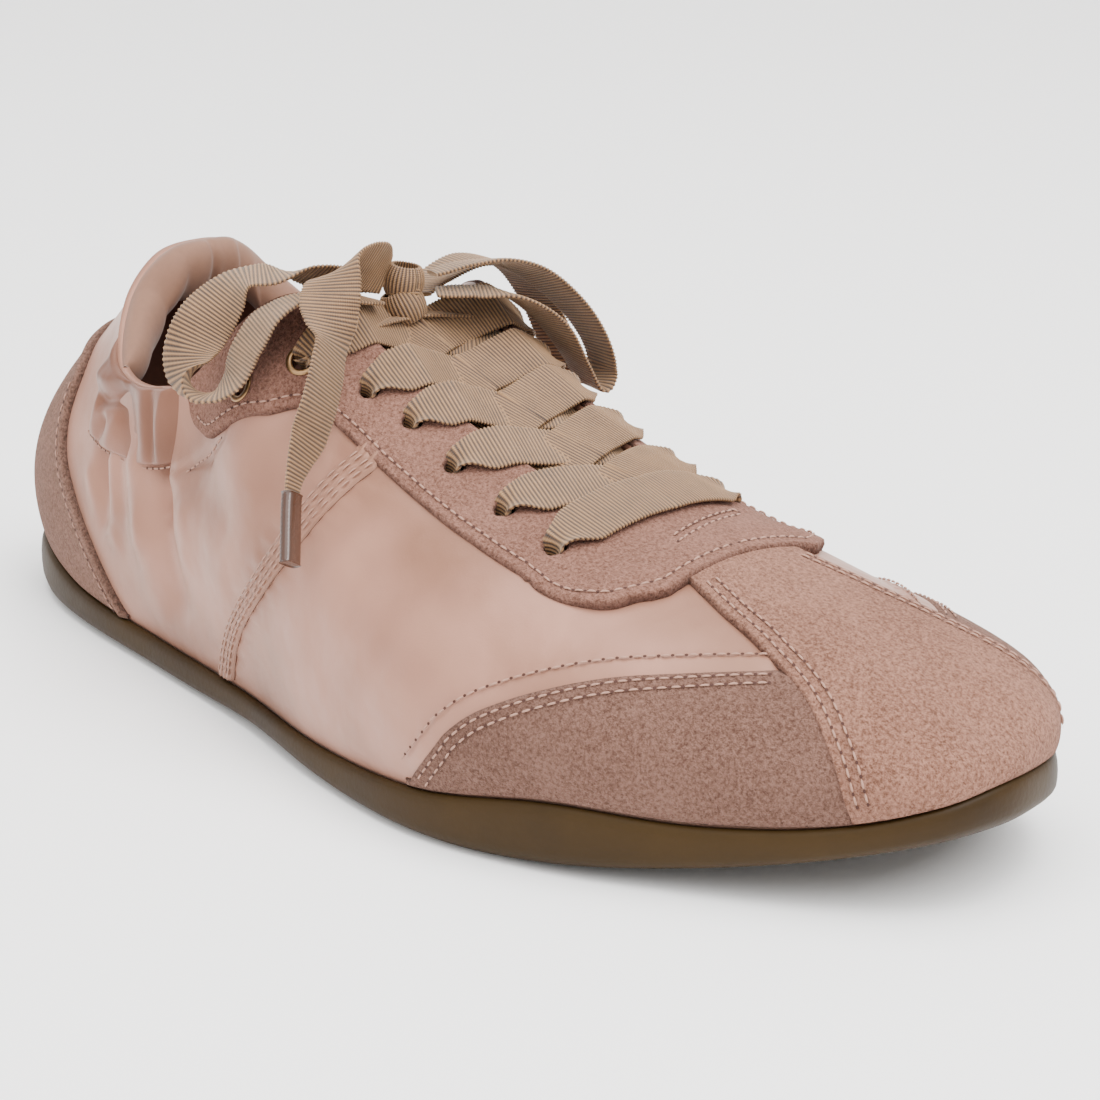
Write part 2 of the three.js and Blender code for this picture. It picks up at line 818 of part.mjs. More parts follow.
// The band over each side seam runs from the sole up to the eyestay.
const seamBandTop = 0.70;
function makeSeamBand(inner) {
  const skin = new Skin();
  const rises = spread(aboveLip(seamBand.round[0]), seamBandTop, 8);
  const half = seamBandWidth / girth / 2;
  const grid = (off) => [-half, half].map((shift) => rises.map((rise) => {
    const centre = read(seamBand, 'round', rise, 'rise');
    const round = inner ? 1 - centre + shift : centre + shift;
    return offPoint(upperPoint, round, rise, off);
  }));
  skin.shell(grid(overlayGap + seamBandThickness), grid(overlayGap), { top: () => true, ends: true });
  return skin.geometry();
}

add('seam_band_lateral', makeSeamBand(false), satin);
add('seam_band_medial', makeSeamBand(true), satin);

// Collar lining: a padded roll inside the heel tab that swells over its edge, taller than it is thick.
const rollReach = 0.08;
const rollTall = 1.6;
const rollDrop = 0.9;
const rollSides = 8;
function makeRoll() {
  const places = spread(-rollReach, rollReach, 16);
  return tube(places.map((q) => {
    const round = q < 0 ? q + 1 : q;
    const radius = rollRadius * Math.sqrt(Math.max(1 - (q / rollReach) ** 6, 0.16));
    const normal = normalOf(upperPoint, round, 0.99);
    const edge = upperPoint(round, 1);
    const up = upperPoint(round, 1).sub(upperPoint(round, 0.98)).normalize();
    const centre = edge.addScaledVector(up, -rollDrop * radius);
    centre.addScaledVector(normal, -(upperWall + 1.5 * clearance + radius));
    return spread(0, 2 * Math.PI, rollSides).slice(0, rollSides).map((angle) => centre.clone()
      .addScaledVector(normal, radius * Math.cos(angle))
      .addScaledVector(up, rollTall * radius * Math.sin(angle)));
  }));
}

add('collar_roll', makeRoll(), lining);

// The form over the instep, as a sheet: q runs forward, cross runs from the outer holes to the inner ones.
// Behind the vamp it sags between the two sides of the throat.
const sagEnd = 0.31;
const sagRun = 0.09;
const throatHalf = 0.55;
function instepPoint(q, cross, lift) {
  const sag = sagDepth * clamp((sagEnd - q) / sagRun, 0, 1) * Math.max(1 - (cross / throatHalf) ** 2, 0);
  const share = 1 - Math.abs(cross) * (1 - read(holeReach, cross < 0 ? 'outer' : 'inner', q));
  const round = cross < 0 ? q : 1 - q;
  const step = 1e-3;
  const near = Math.min(share, 1 - 2 * step);
  const normal = normalOf(formPoint, round, near);
  if (Math.abs(cross) < 1e-6) normal.add(normalOf(formPoint, 1 - round, near)).normalize();
  return formPoint(round, share).addScaledVector(normal, lift - sag);
}

// How far up to the ridge the holes lie, from the throat's edge at each place.
const holeReach = {
  round: [...holes.round].reverse(),
  outer: holes.round.map((round, i) => holes.outer[i] * throatShare(round)).reverse(),
  inner: holes.round.map((round, i) => holes.inner[i] * throatShare(1 - round)).reverse(),
};

// Tongue: a padded sheet under the throat, thinner along its sides.
const tongueStart = 0.214;
const tongueEnd = 0.350;
const tongueHalf = 1.04;
const tongueSide = 0.35;
function makeTongue() {
  const skin = new Skin();
  const crosses = spread(-tongueHalf, tongueHalf, 6);
  const top = -(upperWall + 4 * clearance);
  const places = spread(tongueStart, tongueEnd, 10);
  const grid = (thickness) => places.map((q) => crosses.map((cross) => {
    const edge = Math.abs(cross) > 1 ? tongueSide : 1;
    return instepPoint(q, cross, top - thickness * edge);
  }));
  skin.shell(grid(0), grid(tongueThickness), { top: () => true, ends: true });
  return skin.geometry();
}

add('tongue', makeTongue(), lining);

// Metal rings in the two rearmost holes of each side.
const ringSides = 9;
function makeRing(hole) {
  const half = ringHeight / 2;
  const profile = [
    [ringInner, -half],
    [ringOuter, -half],
    [ringOuter, half * 0.2],
    [(ringInner + ringOuter) / 2, half],
    [ringInner, half * 0.2],
    [ringInner, -half],
  ].map(([x, y]) => new THREE.Vector2(x, y));
  const ring = new THREE.LatheGeometry(profile, ringSides);
  const normal = normalOf(upperPoint, hole.round, hole.rise);
  const lift = overlayGap + overlayThickness + clearance + half;
  const place = upperPoint(hole.round, hole.rise).addScaledVector(normal, lift);
  ring.applyQuaternion(new THREE.Quaternion().setFromUnitVectors(new THREE.Vector3(0, 1, 0), normal));
  ring.translate(place.x, place.y, place.z);
  return clean(ring);
}

holeList.filter((hole) => hole.ring).forEach((hole, i) => {
  const side = hole.round < 0.5 ? 'lateral' : 'medial';
  add(`eyelet_${side}_${Math.floor(i / 2) + punchedHoles + 1}`, makeRing(hole), metal);
});

// Lace crossings: a flat ribbon from hole to hole over the instep, all joined where they lie on each other.
// Over the throat they dip, and the last pair ends under the knot.
const barReach = 0.84;
const lastReach = -0.2;
const barSteps = 5;
const barTip = 0.5;
const barLayer = 0.4;
const barDip = 1;
function makeBar(from, to, height, heading, reach = barReach) {
  const along = (cross) => mix(from, to, (cross * heading + 1) / 2);
  const ends = heading > 0 ? [-barReach, reach] : [-reach, barReach];
  const step = 0.05;
  return tube(spread(...ends, barSteps).map((cross) => {
    const q = along(cross);
    const overEdge = clamp((Math.abs(cross) - 0.2) / 0.3, 0, 1);
    const overVamp = clamp((q - holes.round[1]) / 0.012, 0, 1);
    const lift = mix(barDip, height, Math.max(overEdge, overVamp));
    const place = (at, off) => instepPoint(along(at), at, off);
    const middle = place(cross, lift);
    const normal = place(cross, lift + 1).sub(middle).normalize();
    const run = place(cross + step, lift).sub(place(cross - step, lift)).normalize();
    const side = run.cross(normal).normalize();
    const half = ribbonWidth / 2 * mix(barTip, 1, Math.min((1 - Math.abs(cross)) * 3, 1));
    return [[-1, 0], [1, 0], [1, 1], [-1, 1]].map(([across, up]) => middle.clone()
      .addScaledVector(side, across * half)
      .addScaledVector(normal, up * ribbonThickness));
  }));
}

function makeCrossings() {
  const base = overlayGap + overlayThickness + 2 * clearance + ringHeight;
  const bars = [makeBar(holes.round[0], holes.round[0], base, 1)];
  for (let i = 0; i < punchedHoles; i += 1) {
    const reach = i === punchedHoles - 1 ? lastReach : barReach;
    bars.push(makeBar(holes.round[i], holes.round[i + 1], base + barLayer, 1, reach));
    bars.push(makeBar(holes.round[i], holes.round[i + 1], base, -1, reach));
  }
  return join(bars);
}

add('lace_crossings', makeCrossings(), ribbon);

const standing = new THREE.Box3().setFromObject(shoe);

// The bow. Every route is in ribbon widths from the knot: forward, to the inner side, and up.
// turnX, turnY and turnZ point across the ribbon, and wide narrows it towards its tip.
const knot = new THREE.Vector3(0.428 * soleLength, 0, 0.995 * instepHeight);
const knotSize = new THREE.Vector3(0.4, 0.4, 0.436).multiplyScalar(ribbonWidth);

const looseEnd = table('forward side up turnX turnY turnZ wide', [
  [-0.09, -0.35, 0.27, 0.19, -0.77, -0.61, 0.7],
  [0.14, -0.85, 0.53, -0.12, -0.87, -0.47, 1.0],
  [0.33, -1.64, 0.58, -0.42, -0.76, -0.50, 1.0],
  [0.63, -2.03, 0.27, -0.42, -0.87, -0.24, 1.0],
  [0.87, -2.22, -0.07, -0.07, -0.99, 0.08, 1.0],
  [1.07, -2.36, -0.41, 0.39, -0.88, 0.28, 1.0],
  [1.28, -2.60, -0.77, 0.35, -0.90, 0.27, 1.0],
  [1.46, -2.90, -1.23, 0.30, -0.92, 0.27, 1.0],
  [1.54, -3.18, -1.69, 0.20, -0.95, 0.25, 0.9],
  [1.65, -3.49, -2.11, 0.20, -0.95, 0.25, 0.55],
  [1.81, -3.74, -2.53, 0.20, -0.95, 0.25, 0.32],
  [2.33, -4.18, -3.45, 0.20, -0.95, 0.25, 0.32],
]);
const hiddenEnd = table('forward side up turnX turnY turnZ wide', [
  [-0.27, 0.38, -0.24, 1.00, 0.00, 0.10, 0.8],
  [-0.45, 0.95, -0.06, 1.00, 0.00, 0.10, 1.0],
  [-0.38, 1.75, 0.16, 1.00, 0.00, 0.00, 1.0],
  [-0.25, 2.55, -0.12, 1.00, 0.00, 0.00, 1.0],
  [-0.12, 3.12, -0.85, 1.00, 0.10, 0.00, 1.0],
  [0.05, 3.40, -1.70, 1.00, 0.10, 0.00, 0.9],
  [0.15, 3.54, -2.35, 1.00, 0.20, 0.00, 0.5],
  [0.20, 3.64, -2.85, 1.00, 0.20, 0.00, 0.32],
  [0.36, 3.96, -3.95, 1.00, 0.20, 0.00, 0.32],
]);
const outerLoop = table('forward side up turnX turnY turnZ wide', [
  [-0.45, -0.23, -0.04, 0.62, -0.52, 0.58, 0.5],
  [-0.71, -0.79, 0.12, 0.56, -0.47, 0.68, 0.85],
  [-0.91, -1.39, 0.28, 0.67, -0.56, 0.49, 1.0],
  [-1.14, -1.94, 0.32, 0.82, -0.56, -0.10, 1.0],
  [-1.40, -2.35, 0.26, 0.94, -0.33, -0.06, 1.0],
  [-1.54, -2.69, -0.08, 0.94, 0.19, -0.28, 1.0],
  [-1.61, -3.06, -0.49, 0.73, 0.44, -0.53, 1.0],
  [-1.57, -3.37, -0.91, 0.94, 0.27, -0.20, 1.0],
  [-1.31, -3.58, -1.34, 0.94, -0.33, -0.01, 1.0],
  [-0.92, -3.46, -1.50, 0.85, -0.52, 0.06, 0.95],
  [-0.65, -3.17, -1.22, 0.96, -0.22, 0.18, 1.0],
  [-0.52, -2.90, -0.64, 0.97, -0.03, 0.25, 1.0],
  [-0.34, -2.56, -0.13, 0.97, -0.03, 0.25, 1.0],
  [-0.13, -2.05, 0.12, 0.99, -0.04, 0.15, 0.8],
  [0.17, -1.45, 0.10, 0.83, -0.56, 0.01, 0.55],
  [0.19, -0.72, -0.10, 0.75, -0.63, 0.21, 0.45],
]);
const innerLoop = table('forward side up turnX turnY turnZ wide', [
  [0.22, 0.42, 0.22, 1.00, 0.00, 0.20, 0.6],
  [0.42, 0.95, 0.34, 1.00, 0.00, 0.20, 0.9],
  [0.66, 1.55, 0.34, 1.00, 0.00, 0.20, 1.0],
  [0.88, 2.15, 0.08, 1.00, 0.00, 0.20, 1.0],
  [1.12, 2.75, -0.50, 1.00, -0.10, 0.20, 1.0],
  [1.28, 3.15, -1.15, 1.00, -0.20, 0.20, 1.0],
  [1.34, 3.28, -1.72, 1.00, -0.20, 0.10, 1.0],
  [1.38, 2.96, -1.92, 1.00, -0.20, 0.00, 1.0],
  [1.36, 2.66, -1.45, 1.00, -0.20, 0.00, 1.0],
  [1.30, 2.12, -0.66, 1.00, 0.00, 0.00, 1.0],
  [1.10, 1.45, -0.16, 1.00, 0.00, 0.00, 1.0],
  [0.72, 0.85, -0.06, 1.00, 0.00, 0.00, 0.9],
  [0.40, 0.36, -0.06, 1.00, 0.00, 0.00, 0.6],
]);

function alongRow(rows, name, share) {
  const values = rows[name];
  const keys = values.map((_, i) => i);
  return follow(keys, values, share * (values.length - 1));
}

class RibbonPath extends THREE.Curve {
  constructor(rows) {
    super();
    this.rows = rows;
  }

  getPoint(share) {
    const value = (name) => ribbonWidth * alongRow(this.rows, name, share);
    return new THREE.Vector3(value('forward'), value('side'), value('up')).add(knot);
  }
}

// A flat six-sided section, in half widths and half thicknesses.
const flatSection = [[1, 0], [0.8, 1], [-0.8, 1], [-1, 0], [-0.8, -1], [0.8, -1]];

// A ribbon bends over its face and hardly in its own plane. Where its path would bend it sideways by more
// than this share of its half width, its face turns towards the bend.
const sidewaysLimit = 0.5;
function makeRibbon(rows, steps) {
  const path = new RibbonPath(rows);
  const length = path.getLength();
  return tube(spread(0, 1, steps).map((place) => {
    const share = path.getUtoTmapping(place);
    const value = (name) => alongRow(rows, name, share);
    const half = ribbonWidth / 2 * value('wide');
    const run = path.getTangentAt(place);
    const across = new THREE.Vector3(value('turnX'), value('turnY'), value('turnZ'));
    across.addScaledVector(run, -across.dot(run)).normalize();
    const before = Math.max(place - 0.5 / steps, 0);
    const after = Math.min(place + 0.5 / steps, 1);
    const bend = path.getTangentAt(after).sub(path.getTangentAt(before));
    bend.divideScalar((after - before) * length);
    const sideways = across.dot(bend) * half;
    const excess = Math.sign(sideways) * Math.max(Math.abs(sideways) - sidewaysLimit, 0);
    across.addScaledVector(bend, -excess / half / Math.max(bend.lengthSq(), 1e-9)).normalize();
    const face = across.clone().cross(run);
    return flatSection.map(([x, y]) => path.getPointAt(place)
      .addScaledVector(across, x * half)
      .addScaledVector(face, y * ribbonThickness / 2));
  }));
}

add('lace_loop_lateral', makeRibbon(outerLoop, 28), ribbon);
add('lace_loop_medial', makeRibbon(innerLoop, 24), ribbon);
add('lace_end_lateral', makeRibbon(looseEnd, 22), ribbon);
add('lace_end_medial', makeRibbon(hiddenEnd, 16), ribbon);

function makeKnot() {
  const ball = new THREE.SphereGeometry(1, 10, 6);
  ball.scale(knotSize.x, knotSize.y, knotSize.z);
  ball.translate(knot.x, knot.y, knot.z);
  return clean(ball);
}

add('lace_knot', makeKnot(), ribbon);

// An aglet is a flat sleeve round the gathered tip of a ribbon.
function flatShape(width, thickness) {
  const corners = flatSection.map(([x, y]) => new THREE.Vector2(x * width / 2, y * thickness / 2));
  return new THREE.Shape(corners);
}

function makeAglet(rows) {
  const last = rows.forward.length - 1;
  const place = (i) => new THREE.Vector3(rows.forward[i], rows.side[i], rows.up[i]);
  const at = (i) => place(i).multiplyScalar(ribbonWidth).add(knot);
  const tip = at(last);
  const run = tip.clone().sub(at(last - 1)).normalize();
  const across = new THREE.Vector3(rows.turnX[last], rows.turnY[last], rows.turnZ[last]);
  across.addScaledVector(run, -across.dot(run)).normalize();
  const wide = ribbonWidth * rows.wide[last] + 3 * clearance;
  const thick = ribbonThickness + 3 * clearance;
  const section = flatShape(wide + 2 * agletWall, thick + 2 * agletWall);
  section.holes.push(flatShape(wide, thick));
  const sleeve = new THREE.ExtrudeGeometry(section, { depth: agletLength, bevelEnabled: false });
  const turn = new THREE.Matrix4().makeBasis(across, run.clone().cross(across), run);
  turn.setPosition(tip.addScaledVector(run, clearance - agletLength));
  return clean(sleeve.applyMatrix4(turn));
}

add('aglet_lateral', makeAglet(looseEnd), ribbon);
add('aglet_medial', makeAglet(hiddenEnd), ribbon);

// The shoe without its bow is centred over the origin.
const middle = standing.getCenter(new THREE.Vector3());
shoe.position.set(-middle.x, -middle.y, 0);

export default shoe;
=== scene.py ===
"""A low satin and suede sneaker for the right foot, tied with a wide grosgrain ribbon."""
import math
import bpy
import numpy as np
from mathutils import Matrix, Vector


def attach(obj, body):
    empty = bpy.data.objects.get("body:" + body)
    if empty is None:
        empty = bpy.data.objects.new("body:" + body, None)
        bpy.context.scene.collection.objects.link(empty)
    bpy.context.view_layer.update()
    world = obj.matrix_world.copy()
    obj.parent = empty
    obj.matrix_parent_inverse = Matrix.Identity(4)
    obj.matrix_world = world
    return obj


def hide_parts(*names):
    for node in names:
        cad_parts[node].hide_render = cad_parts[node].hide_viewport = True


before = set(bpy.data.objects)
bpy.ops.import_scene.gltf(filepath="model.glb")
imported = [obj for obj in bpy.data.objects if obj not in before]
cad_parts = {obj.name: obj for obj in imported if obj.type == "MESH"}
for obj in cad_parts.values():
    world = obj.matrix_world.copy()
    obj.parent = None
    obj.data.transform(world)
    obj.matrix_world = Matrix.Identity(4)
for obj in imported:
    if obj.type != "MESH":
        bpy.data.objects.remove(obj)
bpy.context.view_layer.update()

# Sizes of the shoe in millimetres. Lengths run from the heel, and the outer side is negative.
LENGTH = 257.0
BALL = 92.0
INSTEP = 80.0
RAND = 10.0
SPRING = 15.0
SPRING_START = 0.67
BEVEL = 2.0
BEVEL_END = 0.10
ARCH = 2.6
ARCH_START = 0.32
ARCH_SPAN = 0.26
INSET = 2.4
LIP = 0.9
WALL = 1.8
SUEDE_THICK = 1.05
ROLL = 4.4
ROLL_END = 0.090
PUNCH = 2.0
RIBBON = 11.0
RIBBON_THICK = 0.8
RIB_PITCH = 0.72
SLEEVE_LENGTH = 13.0
SAG = 6.5
GIRTH = 583.0
HEIGHT = 60.0
KNOT = np.array([0.428 * LENGTH, 0.0, 0.995 * INSTEP])
SHIFT = np.array([-126.481, -1.599, 0.0])
THROAT_FRONT = 0.328
JOIN = (0.152, 0.212)

# Camera: the photograph looks at the outer side from the front, a little from above.
AZIMUTH, ELEVATION = math.radians(50.0), math.radians(18.0)
DISTANCE, FOCAL, FRAME_WIDE, SENSOR = 650.0, 3426.0, 1100.0, 36.0
MIDDLE, ASIDE = np.array([129.0, 0.0, 0.0]), np.array([14.89, 31.24])


def camera():
    """Camera at the photograph's angle. The fitted focal length is in pixels of a frame 1100 pixels wide."""
    back = Vector((math.sin(AZIMUTH) * math.cos(ELEVATION), -math.cos(AZIMUTH) * math.cos(ELEVATION),
                   math.sin(ELEVATION)))
    right = Vector((math.cos(AZIMUTH), math.sin(AZIMUTH), 0))
    up = back.cross(right)
    place = Vector(MIDDLE + SHIFT) + back * DISTANCE + right * ASIDE[0] + up * ASIDE[1]
    data = bpy.data.cameras.new("camera")
    data.sensor_width = SENSOR
    data.lens = SENSOR * FOCAL / FRAME_WIDE
    data.clip_start = 0.01
    eye = bpy.data.objects.new("camera", data)
    turn = Matrix((right, up, back)).transposed().to_4x4()
    eye.matrix_world = Matrix.Translation(place * 0.001) @ turn
    bpy.context.scene.collection.objects.link(eye)
    bpy.context.scene.camera = eye


camera()


# Tables of the form. Each row starts with its place round the shoe, 0 at the heel, outer side first.
def columns(names, rows):
    """Named columns of a table written as rows."""
    values = np.array(rows, float)
    return {name: values[:, i] for i, name in enumerate(names.split())}


OUTLINE = columns("round forward side rand", [
    (0.000, -0.006, 0.000, 0.95), (0.026, 0.013, -0.330, 0.97), (0.053, 0.067, -0.520, 1.00),
    (0.089, 0.147, -0.630, 0.70), (0.144, 0.271, -0.710, 0.62), (0.204, 0.405, -0.800, 0.60),
    (0.262, 0.533, -0.940, 0.64), (0.313, 0.654, -0.990, 0.85), (0.360, 0.760, -0.840, 1.12),
    (0.406, 0.856, -0.560, 0.76), (0.447, 0.936, -0.280, 0.56), (0.475, 0.982, -0.035, 0.60),
    (0.497, 0.994, 0.220, 0.72), (0.518, 0.985, 0.460, 0.76), (0.541, 0.962, 0.700, 0.78),
    (0.575, 0.905, 0.960, 0.80), (0.615, 0.812, 1.060, 0.80), (0.658, 0.710, 1.020, 0.80),
    (0.708, 0.600, 0.870, 0.70), (0.770, 0.466, 0.660, 0.60), (0.830, 0.331, 0.575, 0.60),
    (0.894, 0.187, 0.615, 0.70), (0.942, 0.077, 0.560, 0.86), (0.971, 0.019, 0.350, 0.92)])
COLLAR = columns("round forward side up steep lean low high", [
    (-0.210, 0.390, 0.48, 0.960, 72, 12, 0.40, 0.32), (-0.178, 0.340, 0.57, 0.800, 82, 12, 0.38, 0.32),
    (-0.144, 0.280, 0.63, 0.720, 88, 14, 0.36, 0.30), (-0.089, 0.200, 0.60, 0.720, 86, 16, 0.36, 0.30),
    (-0.053, 0.153, 0.44, 0.840, 76, 18, 0.40, 0.30), (-0.026, 0.142, 0.26, 0.925, 66, 20, 0.42, 0.30),
    (0.000, 0.142, 0.06, 0.946, 60, 20, 0.42, 0.30), (0.026, 0.142, -0.15, 0.925, 66, 20, 0.42, 0.30),
    (0.053, 0.150, -0.34, 0.830, 76, 18, 0.40, 0.30), (0.089, 0.200, -0.56, 0.710, 86, 16, 0.36, 0.30),
    (0.144, 0.285, -0.63, 0.720, 88, 16, 0.36, 0.30), (0.178, 0.350, -0.55, 0.830, 80, 16, 0.38, 0.32),
    (0.210, 0.405, -0.42, 1.000, 66, 16, 0.40, 0.32)])
RIDGE = columns("round forward side up outer inner low high", [
    (0.150, 0.290, 0.04, 1.120, 14, 10, 0.38, 0.44), (0.204, 0.400, 0.05, 1.055, 16, 10, 0.40, 0.44),
    (0.233, 0.468, 0.05, 0.925, 18, 12, 0.42, 0.42), (0.262, 0.535, 0.06, 0.820, 20, 14, 0.44, 0.40),
    (0.290, 0.605, 0.07, 0.735, 22, 16, 0.46, 0.38), (0.320, 0.675, 0.08, 0.665, 24, 18, 0.47, 0.38),
    (0.350, 0.735, 0.10, 0.612, 25, 18, 0.48, 0.38), (0.380, 0.795, 0.13, 0.565, 26, 18, 0.48, 0.36),
    (0.410, 0.850, 0.16, 0.522, 27, 20, 0.48, 0.36), (0.440, 0.895, 0.19, 0.478, 28, 24, 0.48, 0.38),
    (0.470, 0.930, 0.21, 0.432, 30, 28, 0.48, 0.38), (0.500, 0.948, 0.22, 0.395, 31, 31, 0.48, 0.36),
    (0.530, 0.930, 0.21, 0.432, 30, 28, 0.48, 0.38), (0.560, 0.895, 0.19, 0.478, 28, 24, 0.48, 0.38)])
THROAT = columns("round outer inner", [
    (0.150, 0.660, 0.620), (0.190, 0.770, 0.710), (0.212, 0.830, 0.770), (0.262, 0.845, 0.800),
    (0.290, 0.850, 0.810), (0.306, 0.865, 0.830), (0.317, 0.900, 0.875), (0.324, 0.940, 0.930),
    (0.328, 1.000, 1.000)])
EYESTAY = columns("round rise", [
    (0.158, 0.930), (0.163, 0.820), (0.172, 0.720), (0.184, 0.640), (0.198, 0.630), (0.214, 0.670),
    (0.226, 0.745), (0.240, 0.765), (0.262, 0.750), (0.296, 0.720), (0.306, 0.707), (0.317, 0.674),
    (0.324, 0.641), (0.328, 0.598), (0.339, 0.580), (0.349, 0.590), (0.357, 0.620), (0.362, 0.690)])
STRIP = columns("round rise", [
    (0.366, 0.800), (0.384, 0.745), (0.398, 0.705), (0.408, 0.665), (0.418, 0.620), (0.428, 0.550),
    (0.436, 0.450), (0.444, 0.290), (0.449, 0.100), (0.451, 0.000)])
WING = columns("round rise", [
    (0.310, 0.010), (0.320, 0.095), (0.334, 0.215), (0.345, 0.280), (0.357, 0.345), (0.372, 0.430),
    (0.388, 0.510), (0.413, 0.640)])
COUNTER = columns("round rise", [
    (0.000, 0.680), (0.030, 0.675), (0.043, 0.630), (0.054, 0.505), (0.064, 0.430), (0.077, 0.375),
    (0.091, 0.300), (0.104, 0.200), (0.115, 0.090), (0.122, 0.015)])
CUFF = columns("round rise", [
    (0.066, 0.600), (0.085, 0.645), (0.104, 0.670), (0.126, 0.675), (0.141, 0.685), (0.154, 0.700)])
SEAM = columns("round rise", [
    (0.1525, 0.668), (0.1640, 0.640), (0.1736, 0.619), (0.1852, 0.592), (0.1945, 0.612)])
BAND = columns("rise round", [
    (0.00, 0.190), (0.13, 0.203), (0.30, 0.226), (0.44, 0.240), (0.58, 0.248), (0.74, 0.255)])
HOLES = columns("round outer inner", [
    (0.325, 0.74, 0.76), (0.302, 0.84, 0.85), (0.279, 0.87, 0.88), (0.258, 0.90, 0.90),
    (0.240, 0.89, 0.89), (0.217, 0.83, 0.84), (0.200, 0.72, 0.74)])


# The form
def follow(keys, values, q):
    """Smooth curve through a column: a cubic between rows, its slopes taken from the rows on both sides."""
    slope = np.gradient(values)
    slope[1:-1] = (values[2:] - values[:-2]) / (keys[2:] - keys[:-2])
    slope[0] = (values[1] - values[0]) / (keys[1] - keys[0])
    slope[-1] = (values[-1] - values[-2]) / (keys[-1] - keys[-2])
    k = np.clip(np.searchsorted(keys, q, side="right") - 1, 0, len(keys) - 2)
    h = keys[k + 1] - keys[k]
    t = (q - keys[k]) / h
    start = (2 * t**3 - 3 * t**2 + 1) * values[k] + (t**3 - 2 * t**2 + t) * h * slope[k]
    return start + (3 * t**2 - 2 * t**3) * values[k + 1] + (t**3 - t**2) * h * slope[k + 1]


def read(table, name, q, key="round"):
    """A column at q, held at its first and last rows beyond them."""
    keys = table[key]
    return follow(keys, table[name], np.clip(q, keys[0], keys[-1]))


def read_round(name, u):
    """A column of the outline, which closes on itself."""
    keys = OUTLINE["round"]
    values = OUTLINE[name]
    keys = np.concatenate([keys[-3:] - 1, keys, keys[:3] + 1])
    values = np.concatenate([values[-3:], values, values[:3]])
    return follow(keys, values, np.mod(u, 1.0))


def edge(u):
    """The sole's outline in plan."""
    return LENGTH * read_round("forward", u), BALL / 2 * read_round("side", u)


def edge_normal(u):
    """Outward direction of the outline, from a small step round it."""
    step = 1e-3
    xa, ya = edge(u - step)
    xb, yb = edge(u + step)
    size = np.hypot(xb - xa, yb - ya)
    return (yb - ya) / size, (xa - xb) / size


def ground(x):
    """Height of the underside: a parabola under the toe and a small one under the heel."""
    s = x / LENGTH
    toe = SPRING * np.clip((s - SPRING_START) / (1 - SPRING_START), 0, None) ** 2
    return toe + BEVEL * np.clip((BEVEL_END - s) / BEVEL_END, 0, None) ** 2


def arch(x, y):
    """Hollow of the waist: a squared sine along the shoe, deeper on the inner side."""
    s = np.clip((x / LENGTH - ARCH_START) / ARCH_SPAN, 0, 1)
    inner = 0.5 + 0.5 * np.clip(y / (BALL / 4), -1, 1)
    return ARCH * np.sin(np.pi * s) ** 2 * (0.35 + 0.65 * inner)


def rand_top(u):
    """Height of the rubber's upper edge."""
    return ground(edge(u)[0]) + RAND * read_round("rand", u)


def inset(u, depth):
    """Point of the outline moved inwards, in plan."""
    x, y = edge(u)
    nx, ny = edge_normal(u)
    return x - nx * depth, y - ny * depth


def unit(v):
    """Vectors of length one."""
    return v / np.maximum(np.linalg.norm(v, axis=-1, keepdims=True), 1e-9)


def rib(u, top, steep, lean, low, high, slope):
    """Four control points of a rib, from the sole to its top, with its lean and its steepness at the ends."""
    nx, ny = edge_normal(u)
    fx, fy = inset(u, INSET)
    foot = np.stack([fx, fy, rand_top(u) - LIP + 0.3], -1)
    span = np.linalg.norm(top - foot, axis=1)[:, None]
    flare, tilt = np.radians(lean), np.radians(steep)
    rise = np.stack([nx * np.sin(flare), ny * np.sin(flare), np.cos(flare)], -1)
    upright = np.clip(steep / 90.0, 0, 1)[:, None]
    away = unit((1 - upright) * unit((foot - top)[:, :2]) + upright * np.stack([nx, ny], -1))
    fall = unit(np.stack([away[:, 0] * np.cos(tilt), away[:, 1] * np.cos(tilt),
                          slope * away[:, 0] - np.sin(tilt)], -1))
    return np.stack([foot, foot + rise * low[:, None] * span, top + fall * high[:, None] * span, top], 1)


def collar_rib(u):
    """Ribs that end on the collar's edge."""
    q = np.where(u > 0.5, u - 1, u)
    c = {name: read(COLLAR, name, q) for name in ("forward", "side", "up", "steep", "lean", "low", "high")}
    top = np.stack([LENGTH * c["forward"], BALL / 2 * c["side"], INSTEP * c["up"]], -1)
    return rib(u, top, c["steep"], c["lean"], c["low"], c["high"], 0 * q)


def ridge_rib(u):
    """Ribs that end on the ridge over the instep, the vamp and the toe."""
    q = np.clip(np.minimum(u, 1 - u), RIDGE["round"][0], 0.5)
    c = {name: read(RIDGE, name, q) for name in ("forward", "side", "up", "outer", "inner", "low", "high")}
    top = np.stack([LENGTH * c["forward"], BALL / 2 * c["side"], INSTEP * c["up"]], -1)
    step = 2e-3
    before = np.clip(q - step, RIDGE["round"][0], 0.5 - 3 * step)
    after = np.clip(q + step, RIDGE["round"][0] + step, 0.5 - step)
    drop = INSTEP * (read(RIDGE, "up", after) - read(RIDGE, "up", before))
    run = LENGTH * (read(RIDGE, "forward", after) - read(RIDGE, "forward", before))
    lean = np.where(u > 0.5, c["inner"], c["outer"])
    return rib(u, top, 0 * q, lean, c["low"], c["high"], drop / run)


def throat_share(u):
    """How far up to the ridge the throat's edge lies."""
    q = np.minimum(u, 1 - u)
    share = np.where(u > 0.5, read(THROAT, "inner", q), read(THROAT, "outer", q))
    return np.where(q >= THROAT_FRONT, 1.0, np.minimum(share, 1.0))


